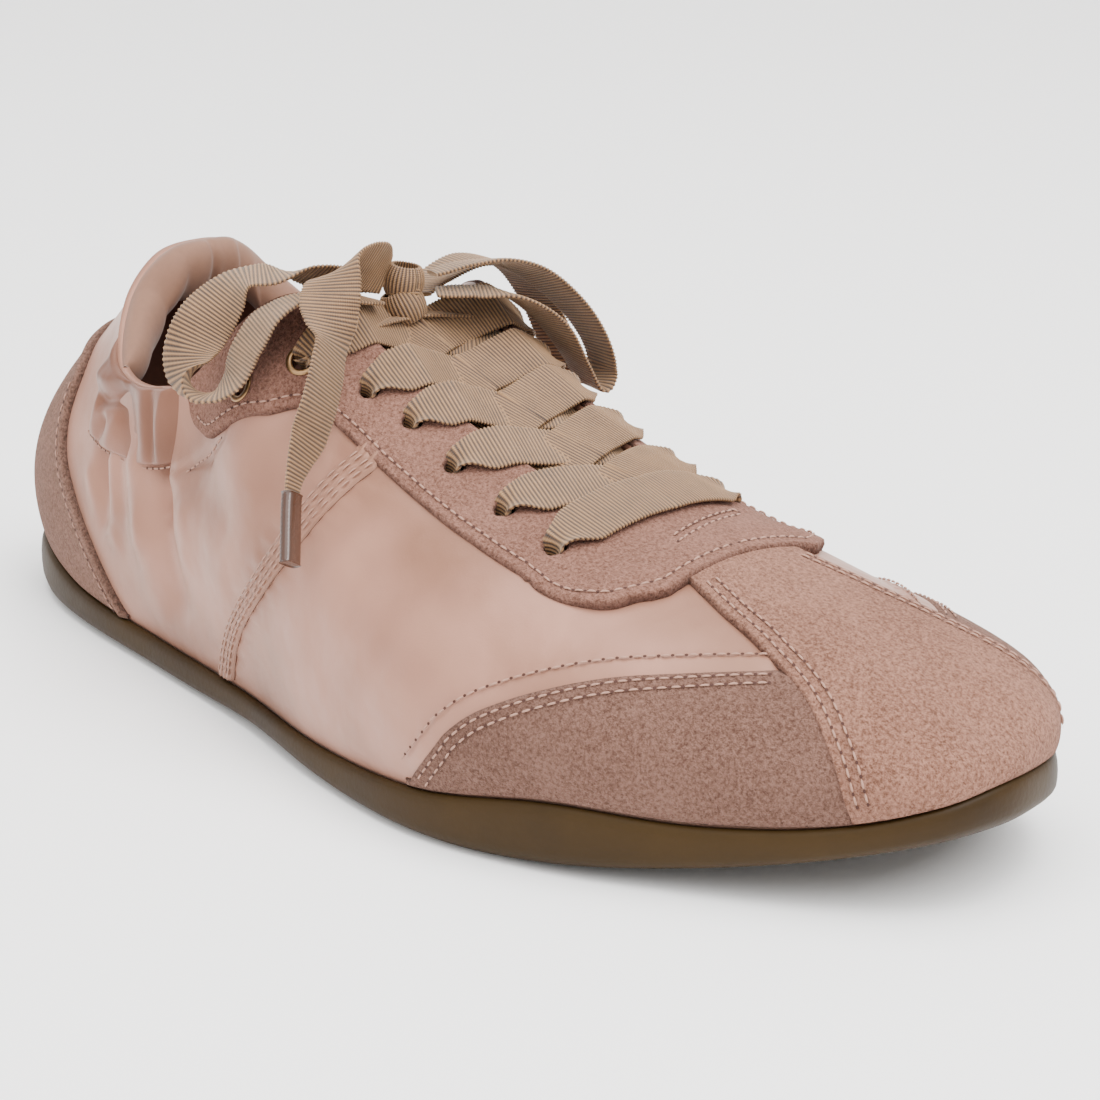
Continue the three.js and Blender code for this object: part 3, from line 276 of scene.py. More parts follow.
def controls(u):
    """Control points of the upper's ribs: the ridge's ribs cut at the throat, blended with the collar's."""
    u = np.mod(np.atleast_1d(u).astype(float), 1.0)
    a, b, c, d = (ridge_rib(u)[:, k] for k in range(4))
    s = throat_share(u)[:, None]
    ab, bc, cd = a + (b - a) * s, b + (c - b) * s, c + (d - c) * s
    abc, bcd = ab + (bc - ab) * s, bc + (cd - bc) * s
    cut = np.stack([a, ab, abc, abc + (bcd - abc) * s], 1)
    w = np.clip((np.minimum(u, 1 - u) - JOIN[0]) / (JOIN[1] - JOIN[0]), 0, 1)
    w = (w * w * (3 - 2 * w))[:, None, None]
    return (1 - w) * collar_rib(u) + w * cut


def bezier(points, t):
    """Cubic curve of four control points, for arrays of places."""
    t = t[..., None]
    return ((1 - t) ** 3 * points[0] + 3 * (1 - t) ** 2 * t * points[1]
            + 3 * (1 - t) * t**2 * points[2] + t**3 * points[3])


def on_form(maker, u, t):
    """Points at rounds u and rises t, both arrays of one shape."""
    flat = maker(np.mod(u.ravel(), 1.0))
    ribs = [flat[:, k].reshape(*u.shape, 3) for k in range(4)]
    return bezier(ribs, t)


def upper_point(u, t):
    """The upper's outer face."""
    return on_form(controls, u, t)


def ridge_point(u, t):
    """The full form up to the ridge, as if the throat were closed."""
    return on_form(ridge_rib, u, t)


def normal_of(point, u, t):
    """Outward normal of a form: the cross product of small steps round it and up it."""
    step = 1.5e-3
    low = np.clip(t - step, 0, 1 - 2 * step)
    around = point(u + step, t) - point(u - step, t)
    return unit(np.cross(around, point(u, low + 2 * step) - point(u, low)))


def upper_normal(u, t):
    """The upper's normal. On the ridge both sides share one, so that they meet."""
    u, t = np.broadcast_arrays(u, t)
    t = np.minimum(t, 0.999)
    n = normal_of(upper_point, u, t)
    q = np.minimum(u, 1 - u)
    near = np.where(q >= THROAT_FRONT - 1e-6, np.clip((t - 0.94) / 0.059, 0, 1), 0)[..., None]
    other = normal_of(upper_point, 1 - u, t)
    return unit(n + near * other)


# Creases of the worn satin. Each is a line on the upper with its half width and depth in millimetres.
CREASES = columns("x0 y0 x1 y1 wide deep", [
    (0.1330, 1.00, 0.1435, 0.68, 2.6, -1.5), (0.1435, 0.70, 0.1500, 0.52, 2.8, -2.2),
    (0.1500, 0.54, 0.1640, 0.22, 4.5, -1.4), (0.1220, 0.66, 0.1380, 0.40, 4.0, 1.5),
    (0.1560, 0.64, 0.1720, 0.36, 4.5, 1.4), (0.0880, 0.66, 0.1040, 0.40, 3.2, -1.8),
    (0.1030, 0.64, 0.1140, 0.46, 3.0, 1.2), (0.0860, 0.50, 0.1160, 0.34, 3.4, 0.9),
    (0.1800, 0.58, 0.2020, 0.40, 4.2, -0.9), (0.1700, 0.46, 0.2000, 0.30, 5.0, 0.8),
    (0.1900, 0.56, 0.2300, 0.60, 2.5, 0.35), (0.2650, 0.62, 0.3000, 0.56, 5.0, -0.35),
    (0.2700, 0.44, 0.3050, 0.40, 6.0, 0.35), (0.8670, 1.00, 0.8575, 0.66, 2.6, -1.3),
    (0.8575, 0.68, 0.8440, 0.34, 4.0, -0.8), (0.8800, 0.64, 0.8620, 0.40, 3.5, 0.7),
    (0.9000, 0.60, 0.8900, 0.40, 3.0, -0.6), (0.8200, 0.58, 0.7960, 0.38, 3.8, -0.5),
    (0.7200, 0.50, 0.6900, 0.42, 6.0, 0.35), (0.1540, 0.672, 0.1850, 0.590, 0.9, -0.7),
    (0.1850, 0.590, 0.1950, 0.615, 0.9, -0.7), (0.1330, 0.42, 0.1480, 0.14, 5.0, 0.8)])


def bells(table, x, y, long, tall):
    """Sum of soft lines on a sheet of a length and height: each row is a bell of the distance to its line."""
    depth = np.zeros(np.broadcast(x, y).shape)
    for x0, y0, x1, y1, wide, deep in zip(*table.values()):
        run = np.array([(x1 - x0) * long, (y1 - y0) * tall])
        ahead, above = (x - x0) * long, (y - y0) * tall
        share = np.clip((ahead * run[0] + above * run[1]) / (run @ run), 0, 1)
        gap = np.hypot(ahead - share * run[0], above - share * run[1])
        depth += deep * np.exp(-((gap / wide) ** 2))
    return depth


def creases(u, t):
    """Depth of the creases, with the small puckers along the side seams and over the wings."""
    depth = bells(CREASES, u, t, GIRTH, HEIGHT)
    q = np.minimum(u, 1 - u)
    off = (q - read(BAND, "round", t, "rise")) * GIRTH
    pucker = np.exp(-(((np.abs(off) - 4.5) / 2.8) ** 2)) * (t < 0.78)
    depth += 0.22 * pucker * np.sin(2 * np.pi * t * HEIGHT / 3.1 + np.sin(t * 23.0))
    # Over the wings the satin is turned under: a narrow puckered welt with a sharp step along its top.
    above = (t - read(WING, "rise", q)) * HEIGHT
    on_wing = np.clip((q - 0.312) / 0.006, 0, 1) * np.clip((0.412 - q) / 0.004, 0, 1)
    welt = np.clip((4.6 - above) / 0.7, 0, 1) * (above > -3)
    ripple = 0.12 * np.sin(2 * np.pi * q * GIRTH / 2.9) * np.exp(-(((above - 4.2) / 2.0) ** 2))
    return depth + on_wing * (0.55 * welt + ripple)


# Meshes
class Skin:
    """Points, faces, picks of material and map places of one piece, gathered part by part."""

    def __init__(self):
        self.points, self.faces, self.picks, self.maps, self.count = [], [], [], [], 0

    def grid(self, points, maps=None, flip=False, around=False, across=False):
        """Quads over a grid of points. around and across join its last row or column to the first."""
        n, m = points.shape[:2]
        rows, places = n if around else n - 1, m if across else m - 1
        i, j = np.meshgrid(np.arange(rows), np.arange(places), indexing="ij")
        i, j = i.ravel(), j.ravel()
        a, b = i * m + j, ((i + 1) % n) * m + j
        c, d = ((i + 1) % n) * m + (j + 1) % m, i * m + (j + 1) % m
        quads = np.stack([a, d, c, b] if flip else [a, b, c, d], -1)
        self.add(points.reshape(-1, 3), quads, maps)

    def add(self, points, faces, maps=None, pick=0):
        """Points and faces of one part."""
        self.points.append(points)
        self.faces.append(faces + self.count)
        self.picks.append(np.full(len(faces), pick))
        self.maps.append(np.zeros((len(points), 2)) if maps is None else np.reshape(maps, (-1, 2)))
        self.count += len(points)

    def piece(self, name, materials, replaces=(), merge=True):
        """The finished piece: merged corners, in metres, in the row's frame."""
        points = (np.concatenate(self.points) + SHIFT) * 0.001
        maps = np.concatenate(self.maps)
        faces = np.concatenate(self.faces)
        picks = np.concatenate(self.picks)
        corner_maps = maps[faces]
        if merge:
            near = np.round(points, 7)
            _, first, where = np.unique(near, axis=0, return_index=True, return_inverse=True)
            points, faces = points[first], where.reshape(-1)[faces]
            good = (faces != np.roll(faces, 1, axis=1)).sum(axis=1) >= 3
            faces, picks, corner_maps = faces[good], picks[good], corner_maps[good]
        mesh = bpy.data.meshes.new(name)
        mesh.vertices.add(len(points))
        mesh.vertices.foreach_set("co", points.ravel())
        keep = faces != np.roll(faces, 1, axis=1)
        starts = np.concatenate([[0], np.cumsum(keep.sum(axis=1))[:-1]])
        loops = faces[keep]
        mesh.loops.add(len(loops))
        mesh.loops.foreach_set("vertex_index", loops)
        mesh.polygons.add(len(faces))
        mesh.polygons.foreach_set("loop_start", starts)
        mesh.polygons.foreach_set("material_index", picks)
        mesh.update(calc_edges=True)
        layer = mesh.uv_layers.new(name="map")
        layer.data.foreach_set("uv", corner_maps[keep].ravel())
        mesh.polygons.foreach_set("use_smooth", np.ones(len(faces), bool))
        for material in materials:
            mesh.materials.append(material)
        mesh.validate()
        obj = bpy.data.objects.new(name, mesh)
        bpy.context.scene.collection.objects.link(obj)
        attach(obj, "root")
        for node in replaces:
            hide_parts(node)
        return obj


# Materials
def linear(code):
    """An sRGB hex colour as linear red, green, blue and alpha."""
    value = np.array([int(code[i:i + 2], 16) for i in (1, 3, 5)]) / 255.0
    value = np.where(value <= 0.04045, value / 12.92, ((value + 0.055) / 1.055) ** 2.4)
    return (*value.tolist(), 1.0)


def node(tree, kind, settings=None, **links):
    """Adds a node, sets its properties, and sets or links its inputs by name."""
    made = tree.nodes.new(kind)
    for key, value in (settings or {}).items():
        setattr(made, key, value)
    for key, value in links.items():
        names = [s for s in made.inputs if s.name.replace(" ", "_") == key or s.identifier == key]
        names = [s for s in names if s.enabled] or names
        if isinstance(value, bpy.types.NodeSocket):
            tree.links.new(value, names[0])
        else:
            names[0].default_value = value
    return made


def material(name, **shader):
    """A material with its Principled shader's plain values set on the sockets."""
    made = bpy.data.materials.new(name)
    made.use_nodes = True
    base = made.node_tree.nodes["Principled BSDF"]
    for key, value in shader.items():
        base.inputs[key.replace("_", " ")].default_value = value
    return made, made.node_tree, base


def ramp(tree, factor, stops):
    """A colour ramp through hex colours."""
    made = node(tree, "ShaderNodeValToRGB", Fac=factor)
    while len(made.color_ramp.elements) < len(stops):
        made.color_ramp.elements.new(0.5)
    for element, (place, code) in zip(made.color_ramp.elements, stops):
        element.position = place
        element.color = linear(code)
    return made.outputs["Color"]


def math_node(tree, operation, a, b=0.0):
    """Arithmetic on one or two values."""
    made = tree.nodes.new("ShaderNodeMath")
    made.operation = operation
    for socket, value in zip(made.inputs, (a, b)):
        if isinstance(value, bpy.types.NodeSocket):
            tree.links.new(value, socket)
        else:
            socket.default_value = value
    return made.outputs[0]


def blend(tree, a, share_a, b, share_b):
    """Weighted sum of two values."""
    first = math_node(tree, "MULTIPLY", a, share_a)
    return math_node(tree, "ADD", first, math_node(tree, "MULTIPLY", b, share_b))


def noise(tree, place, scale, detail=4.0, rough=0.55):
    """Noise of a scale in turns per metre."""
    made = node(tree, "ShaderNodeTexNoise", Vector=place, Scale=scale, Detail=detail, Roughness=rough)
    return made.outputs["Fac"]


def bump(tree, base, height, depth, before=None):
    """Bump of a depth in metres."""
    made = node(tree, "ShaderNodeBump", Height=height, Strength=1.0, Distance=depth)
    if before is not None:
        tree.links.new(before, made.inputs["Normal"])
    tree.links.new(made.outputs["Normal"], base.inputs["Normal"])
    return made.outputs["Normal"]


def satin(name, low, high):
    """Polyester satin: long floats of fine thread give a soft broad shine and no grain to the eye."""
    made, tree, base = material(name, Roughness=0.40, Sheen_Weight=0.12, Sheen_Roughness=0.4, IOR=1.5)
    place = node(tree, "ShaderNodeTexCoord").outputs["Object"]
    base.inputs["Sheen Tint"].default_value = linear("#f2dcd2")
    base.inputs["Specular Tint"].default_value = linear("#f4cfbf")
    # Broad blotches between the two colours are painted light and shade: they stand in for the soft waves of
    # light and shadow over the satin's folds.
    patches = noise(tree, place, 30.0, 2.0)
    tree.links.new(ramp(tree, patches, [(0.36, low), (0.62, high)]), base.inputs["Base Color"])
    # Threads are a tenth of a millimetre; they are drawn at a third of one, so that they show.
    weave = node(tree, "ShaderNodeTexNoise", Vector=place, Scale=3000.0, Detail=2.0).outputs["Fac"]
    soft = bump(tree, base, noise(tree, place, 55.0, 2.5), 0.0016)
    bump(tree, base, weave, 0.00003, soft)
    return made


def suede(name, low, high):
    """Split suede: cut fibres and no shine. Its nap is a dense pebbly grain, and its colour is darker towards
    the sheet's edges and the rims of its holes.
    """
    made, tree, base = material(name, Roughness=0.95, Sheen_Weight=0.12, Sheen_Roughness=0.6, IOR=1.45)
    place = node(tree, "ShaderNodeTexCoord").outputs["Object"]
    base.inputs["Sheen Tint"].default_value = linear("#d8b8ab")
    base.inputs["Specular IOR Level"].default_value = 0.15
    # The grain's clumps of fibre are a little under a millimetre wide.
    grain, fine = noise(tree, place, 1500.0, 2.0, 0.6), noise(tree, place, 3200.0, 2.0, 0.6)
    clumps = blend(tree, grain, 0.6, fine, 0.4)
    shade = blend(tree, clumps, 0.86, noise(tree, place, 55.0, 3.0), 0.14)
    colour = ramp(tree, shade, [(0.38, low), (0.60, high)])
    # The map's first value is the distance to the sheet's edge in millimetres.
    flat = node(tree, "ShaderNodeUVMap", {"uv_map": "map"}).outputs["UV"]
    rim = node(tree, "ShaderNodeSeparateXYZ", Vector=flat).outputs["X"]
    # Within about a millimetre of an edge the colour falls to a little over half, along a ragged line.
    ragged = math_node(tree, "ADD", rim, math_node(tree, "MULTIPLY", grain, 0.5))
    edge_darkening = node(tree, "ShaderNodeMapRange", Value=ragged, From_Min=0.2, From_Max=1.1, To_Min=0.55, To_Max=1.0)
    share = edge_darkening.outputs["Result"]
    dark = node(tree, "ShaderNodeVectorMath", {"operation": "SCALE"}, Vector=colour, Scale=share)
    tree.links.new(dark.outputs["Vector"], base.inputs["Base Color"])
    bump(tree, base, clumps, 0.0009)
    return made


def gum_rubber():
    """Moulded gum rubber: smooth, a little translucent brown, with a dull shine and a dusty bloom."""
    made, tree, base = material("moulded_gum_rubber", Roughness=0.5, IOR=1.52)
    base.inputs["Specular IOR Level"].default_value = 0.12
    place = node(tree, "ShaderNodeTexCoord").outputs["Object"]
    cloud = noise(tree, place, 30.0, 5.0)
    # The brown is partly the gum's own colour and partly painted shade: it is set darker than the rubber is,
    # for the low rand that lies in the shoe's shade.
    tree.links.new(ramp(tree, cloud, [(0.3, "#291c0b"), (0.75, "#382810")]), base.inputs["Base Color"])
    dull = math_node(tree, "ADD", 0.38, math_node(tree, "MULTIPLY", cloud, 0.25))
    tree.links.new(dull, base.inputs["Roughness"])
    bump(tree, base, noise(tree, place, 900.0, 3.0), 0.00006)
    return made


def grosgrain():
    """Grosgrain ribbon: thick weft cords across it, wrapped by fine warp threads, with a silky dull shine."""
    made, tree, base = material("grosgrain_ribbon", Roughness=0.6, Sheen_Weight=0.3, Sheen_Roughness=0.5,
                                IOR=1.5)
    flat = node(tree, "ShaderNodeUVMap", {"uv_map": "map"}).outputs["UV"]
    base.inputs["Sheen Tint"].default_value = linear("#e8d3bd")
    split = node(tree, "ShaderNodeSeparateXYZ", Vector=flat)
    turn = math_node(tree, "MULTIPLY", split.outputs["Y"], 2 * math.pi / RIB_PITCH)
    cord = math_node(tree, "ADD", 0.5, math_node(tree, "MULTIPLY", math_node(tree, "COSINE", turn), 0.5))
    place = node(tree, "ShaderNodeTexCoord").outputs["Object"]
    patches = noise(tree, place, 240.0, 3.0)
    # The colour is darkest in the grooves between the cords and lightest on their crests: painted shade and
    # painted highlight over the ribs, mixed with random patches of tone.
    shade = blend(tree, cord, 0.72, patches, 0.28)
    tree.links.new(ramp(tree, shade, [(0.10, "#22140b"), (0.48, "#634429"), (0.85, "#8d6a45")]),
                   base.inputs["Base Color"])
    # Warp threads of a quarter of a millimetre run along the ribbon.
    warp = math_node(tree, "SINE", math_node(tree, "MULTIPLY", split.outputs["X"], 2 * math.pi / 0.32))
    bump(tree, base, warp, 0.00003)
    return made


def plain(name, code, **shader):
    """A finish of one colour with a little fine unevenness."""
    made, tree, base = material(name, **shader)
    place = node(tree, "ShaderNodeTexCoord").outputs["Object"]
    grain = noise(tree, place, 800.0, 3.0)
    made_ramp = node(tree, "ShaderNodeValToRGB", Fac=grain)
    for element, share in zip(made_ramp.color_ramp.elements, (0.88, 1.12)):
        element.color = tuple(min(1.0, c * share) for c in linear(code)[:3]) + (1.0,)
    tree.links.new(made_ramp.outputs["Color"], base.inputs["Base Color"])
    bump(tree, base, grain, 0.00004)
    return made


# Satins: the shell's is the lightest, the gathered cuff's is darker, since its folds lie in shade.
SATIN = satin("pink_satin", "#7f5948", "#9b7160")
CUFF_SATIN = satin("gathered_pink_satin", "#563629", "#805746")
BAND_SATIN = satin("band_satin", "#7f5b4a", "#936b5a")
# Suedes: each cut has its own tone, lightest over the toe and greyest at the wings and the heel.
SUEDE = suede("dusty_pink_suede", "#5a3b2f", "#896254")
STRIP_SUEDE = suede("pink_strip_suede", "#5c3c2f", "#946b5a")
WING_SUEDE = suede("grey_pink_suede", "#4d342a", "#78594d")
COUNTER_SUEDE = suede("heel_suede", "#563f34", "#826154")
RUBBER = gum_rubber()
GROSGRAIN = grosgrain()
# The brushed lining is pale and matt with a faint nap; the inside's colour is darker, painted shade for cloth
# that lies in a hollow.
LINING = plain("brushed_lining", "#75523f", Roughness=0.8, Sheen_Weight=0.15, Sheen_Roughness=0.5)
INNER = plain("inside_lining", "#674334", Roughness=0.8, Sheen_Weight=0.1)
# Cotton thread is matt and a little lighter than the suede; each needle hole is a dark disc of painted shade.
THREAD = plain("cotton_thread", "#9c7766", Roughness=0.8)
NEEDLE_HOLE_SHADE = plain("needle_holes", "#3d2118", Roughness=0.9)
# The rings have the soft yellow shine of aged metal, and the sleeves the wet shine of acetate film.
BRONZE = plain("antique_ring_metal", "#907150", Roughness=0.35, Metallic=1.0)
SLEEVE = plain("brown_acetate_sleeve", "#40281c", Roughness=0.25, Coat_Weight=0.4, Coat_Roughness=0.1)
# The tongue's suede lies in the shade of the lace: its dark colour is painted shade, on a matt finish.
TONGUE_SHADE = plain("dark_tongue_suede", "#422b21", Roughness=0.95)


# Ribbons and the bow
def along(table, name, share):
    """A column of a route, read by its share of the rows."""
    values = table[name]
    return follow(np.arange(len(values), dtype=float), values, share * (len(values) - 1))


def even_steps(points, pitch):
    """Shares of a dense line at even distances along it, and those distances."""
    length = np.concatenate([[0], np.cumsum(np.linalg.norm(np.diff(points, axis=0), axis=1))])
    count = max(int(length[-1] / pitch), 2) + 1
    places = np.linspace(0, length[-1], count)
    return np.interp(places, length, np.linspace(0, 1, len(points))), places


def sweep(skin, line, across, wide, cup=None, thick=RIBBON_THICK, ribs=1.0, columns_across=12):
    """A flat ribbon along a line. Its section is a thin oval whose faces and edges swell at each rib."""
    n = len(line)
    run = unit(np.gradient(line, axis=0))
    side = unit(across - (across * run).sum(-1, keepdims=True) * run)
    face = np.cross(run, side)
    places = np.concatenate([[0], np.cumsum(np.linalg.norm(np.diff(line, axis=0), axis=1))])
    wave = np.cos(2 * np.pi * places / RIB_PITCH)
    angle = np.linspace(0, 2 * np.pi, 2 * columns_across, endpoint=False)
    x = np.sign(np.cos(angle)) * np.abs(np.cos(angle)) ** 0.7
    y = np.sign(np.sin(angle)) * np.abs(np.sin(angle)) ** 0.35
    half = (wide / 2 * (1 + 0.028 * ribs * wave))[:, None]
    lift = thick / 2 * (1 + 0.22 * ribs * wave)[:, None] * y[None, :]
    bend = 0 if cup is None else -cup[:, None] * x[None, :] ** 2
    ring = (line[:, None, :] + side[:, None, :] * (half * x[None, :])[..., None]
            + face[:, None, :] * (lift + bend)[..., None])
    maps = np.stack([half * x[None, :], np.broadcast_to(places[:, None], (n, len(angle)))], -1)
    skin.grid(ring, maps, across=True)
    for end, flip in ((0, False), (n - 1, True)):
        cap = np.stack([ring[end][:columns_across + 1], ring[end][-np.arange(columns_across + 1)]], 0)
        skin.grid(cap, flip=flip)


LOOSE_END = columns("forward side up x y z wide", [
    (-0.09, -0.35, 0.27, 0.19, -0.77, -0.61, 0.7), (0.14, -0.85, 0.53, -0.12, -0.87, -0.47, 1.0),
    (0.33, -1.64, 0.58, -0.42, -0.76, -0.50, 1.0), (0.63, -2.03, 0.27, -0.42, -0.87, -0.24, 1.0),
    (0.87, -2.22, -0.07, -0.07, -0.99, 0.08, 1.0), (1.07, -2.36, -0.41, 0.39, -0.88, 0.28, 1.0),
    (1.28, -2.60, -0.77, 0.35, -0.90, 0.27, 1.0), (1.46, -2.90, -1.23, 0.30, -0.92, 0.27, 1.0),
    (1.54, -3.18, -1.69, 0.20, -0.95, 0.25, 0.9), (1.65, -3.49, -2.11, 0.20, -0.95, 0.25, 0.55),
    (1.81, -3.74, -2.53, 0.20, -0.95, 0.25, 0.32), (2.33, -4.18, -3.45, 0.20, -0.95, 0.25, 0.32)])
HIDDEN_END = columns("forward side up x y z wide", [
    (-0.27, 0.38, -0.24, 1.00, 0.00, 0.10, 0.8), (-0.45, 0.95, -0.06, 1.00, 0.00, 0.10, 1.0),
    (-0.38, 1.75, 0.16, 1.00, 0.00, 0.00, 1.0), (-0.25, 2.55, -0.12, 1.00, 0.00, 0.00, 1.0),
    (-0.12, 3.12, -0.85, 1.00, 0.10, 0.00, 1.0), (0.05, 3.40, -1.70, 1.00, 0.10, 0.00, 0.9),
    (0.15, 3.54, -2.35, 1.00, 0.20, 0.00, 0.5), (0.20, 3.64, -2.85, 1.00, 0.20, 0.00, 0.32),
    (0.36, 3.96, -3.95, 1.00, 0.20, 0.00, 0.32)])
OUTER_LOOP = columns("forward side up x y z wide", [
    (-0.45, -0.23, -0.04, 0.62, -0.52, 0.58, 0.5), (-0.71, -0.79, 0.12, 0.56, -0.47, 0.68, 0.85),
    (-0.91, -1.39, 0.28, 0.67, -0.56, 0.49, 1.0), (-1.14, -1.94, 0.32, 0.82, -0.56, -0.10, 1.0),
    (-1.40, -2.35, 0.26, 0.94, -0.33, -0.06, 1.0), (-1.54, -2.69, -0.08, 0.94, 0.19, -0.28, 1.0),
    (-1.61, -3.06, -0.49, 0.73, 0.44, -0.53, 1.0), (-1.57, -3.37, -0.91, 0.94, 0.27, -0.20, 1.0),
    (-1.31, -3.58, -1.34, 0.94, -0.33, -0.01, 1.0), (-0.92, -3.46, -1.50, 0.85, -0.52, 0.06, 0.95),
    (-0.65, -3.17, -1.22, 0.96, -0.22, 0.18, 1.0), (-0.52, -2.90, -0.64, 0.97, -0.03, 0.25, 1.0),
    (-0.34, -2.56, -0.13, 0.97, -0.03, 0.25, 1.0), (-0.13, -2.05, 0.12, 0.99, -0.04, 0.15, 0.8),
    (0.17, -1.45, 0.10, 0.83, -0.56, 0.01, 0.55), (0.19, -0.72, -0.10, 0.75, -0.63, 0.21, 0.45)])
INNER_LOOP = columns("forward side up x y z wide", [
    (0.22, 0.42, 0.22, 1.00, 0.00, 0.20, 0.6), (0.42, 0.95, 0.34, 1.00, 0.00, 0.20, 0.9),
    (0.66, 1.55, 0.34, 1.00, 0.00, 0.20, 1.0), (0.88, 2.15, 0.08, 1.00, 0.00, 0.20, 1.0),
    (1.12, 2.75, -0.50, 1.00, -0.10, 0.20, 1.0), (1.28, 3.15, -1.15, 1.00, -0.20, 0.20, 1.0),
    (1.34, 3.28, -1.72, 1.00, -0.20, 0.10, 1.0), (1.38, 2.96, -1.92, 1.00, -0.20, 0.00, 1.0),
    (1.36, 2.66, -1.45, 1.00, -0.20, 0.00, 1.0), (1.30, 2.12, -0.66, 1.00, 0.00, 0.00, 1.0),
    (1.10, 1.45, -0.16, 1.00, 0.00, 0.00, 1.0), (0.72, 0.85, -0.06, 1.00, 0.00, 0.00, 0.9),
    (0.40, 0.36, -0.06, 1.00, 0.00, 0.00, 0.6)])


def route(table, pitch=RIB_PITCH / 4):
    """A ribbon's line, the direction across it and its width, at even steps."""
    dense = np.linspace(0, 1, 1200)
    line = KNOT + RIBBON * np.stack([along(table, name, dense) for name in ("forward", "side", "up")], -1)
    shares, places = even_steps(line, pitch)
    line = np.stack([np.interp(shares, dense, line[:, k]) for k in range(3)], -1)
    across = np.stack([along(table, name, shares) for name in "xyz"], -1)
    wide = RIBBON * along(table, "wide", shares)
    return line, face_the_bend(line, across, wide), wide, places


def face_the_bend(line, across, wide):
    """A ribbon hardly bends in its own plane: past a limit its width turns away from the bend's direction."""
    limit, reach = 0.5, 1.75
    run = unit(np.gradient(line, axis=0))
    across = unit(across - (across * run).sum(-1, keepdims=True) * run)
    pitch = np.linalg.norm(line[1] - line[0])
    steps = max(int(reach / pitch), 1)
    last = len(line) - 1
    ahead = np.minimum(np.arange(last + 1) + steps, last)
    behind = np.maximum(np.arange(last + 1) - steps, 0)
    bend = (run[ahead] - run[behind]) / ((ahead - behind) * pitch)[:, None]
    sideways = (across * bend).sum(-1) * wide / 2
    excess = np.sign(sideways) * np.maximum(np.abs(sideways) - limit, 0)
    turn = excess / (wide / 2) / np.maximum((bend**2).sum(-1), 1e-9)
    across = unit(across - bend * turn[:, None])
    for _ in range(steps):
        across[1:-1] = unit(across[:-2] + 2 * across[1:-1] + across[2:])
    return across


def bow_piece(name, table, node_name):
    """One loop or end of the bow."""
    line, across, wide, places = route(table)
    skin = Skin()
    sweep(skin, line, across, wide)
    made = skin.piece(name, [GROSGRAIN], [node_name])
    path = (line[::8] + SHIFT) * 0.001
    path = np.vstack([path, (line[-1:] + SHIFT) * 0.001])
    return made


def aglet(name, table, node_name):
    """A flat sleeve pressed round the gathered tip of a ribbon, with its end rolled in."""
    line, across, _, places = route(table, 0.5)
    start = places[-1] - SLEEVE_LENGTH
    shares = np.linspace(start, places[-1] + 0.3, 40)
    line = np.stack([np.interp(shares, places, line[:, k]) for k in range(3)], -1)
    line[-1] = line[-2] + unit(line[-2] - line[-3]) * 0.3
    across = np.stack([np.interp(shares, places, across[:, k]) for k in range(3)], -1)
    size = 3.8 + 0.12 * np.cos(2 * np.pi * shares / 0.85)
    size[0] = size[-1] = 4.3
    skin = Skin()
    sweep(skin, line, across, size, thick=2.4, ribs=0.0, columns_across=10)
    return skin.piece(name, [SLEEVE], [node_name])


outer_aglet = aglet("sleeve_outer", LOOSE_END, "aglet_lateral")
inner_aglet = aglet("sleeve_inner", HIDDEN_END, "aglet_medial")
bow_piece("ribbon_loop_outer", OUTER_LOOP, "lace_loop_lateral")
bow_piece("ribbon_loop_inner", INNER_LOOP, "lace_loop_medial")
bow_piece("ribbon_end_outer", LOOSE_END, "lace_end_lateral")
bow_piece("ribbon_end_inner", HIDDEN_END, "lace_end_medial")


def knot():
    """Two turns of the ribbon, one level and one slanted under it, round a third that goes over the top."""
    skin = Skin()
    sight = Vector((math.sin(AZIMUTH), -math.cos(AZIMUTH), 0))
    angle = np.linspace(0, 2 * np.pi, 160)
    for tilt, place, size, wide in ((-9, (0.2, -0.4, 1.5), 3.5, 6.0), (26, (0.6, -0.8, -3.2), 3.8, 6.4),
                                    (84, (0, 0, -0.6), 3.5, 5.6)):
        spin = np.array(Matrix.Rotation(math.radians(tilt), 3, sight))
        ring = size * np.stack([np.cos(angle), np.sin(angle), 0 * angle], -1)
        line = KNOT + np.array(place) + ring @ spin.T
        across = np.broadcast_to(spin[:, 2], line.shape)
        sweep(skin, line, across, np.full(len(line), wide), cup=np.full(len(line), 0.9))
    return skin.piece("ribbon_knot", [GROSGRAIN], ["lace_knot"])


knot()


# The lacing
def instep(q, cross, off):
    """The form over the throat: q runs forward, cross from the outer holes to the inner ones."""
    keys = HOLES["round"][::-1]
    outer_reach = HOLES["outer"][::-1] * throat_share(keys)
    inner_reach = HOLES["inner"][::-1] * throat_share(1 - keys)
    q = np.clip(q, keys[0], keys[-1] + 0.03)
    near = np.clip(q, keys[0], keys[-1])
    far = np.where(cross < 0, follow(keys, outer_reach, near), follow(keys, inner_reach, near))
    share = np.clip(1 - np.abs(cross) * (1 - far), 0, 0.997)
    u = np.where(cross < 0, q, 1 - q)
    n = unit(normal_of(ridge_point, u, share)
             + np.clip(1 - np.abs(cross) / 0.3, 0, 1)[..., None] * normal_of(ridge_point, 1 - u, share))
    sag = SAG * np.clip((0.31 - q) / 0.09, 0, 1) * np.clip(1 - (cross / 0.55) ** 2, 0, None)
    return ridge_point(u, share) + n * (off - sag)[..., None]


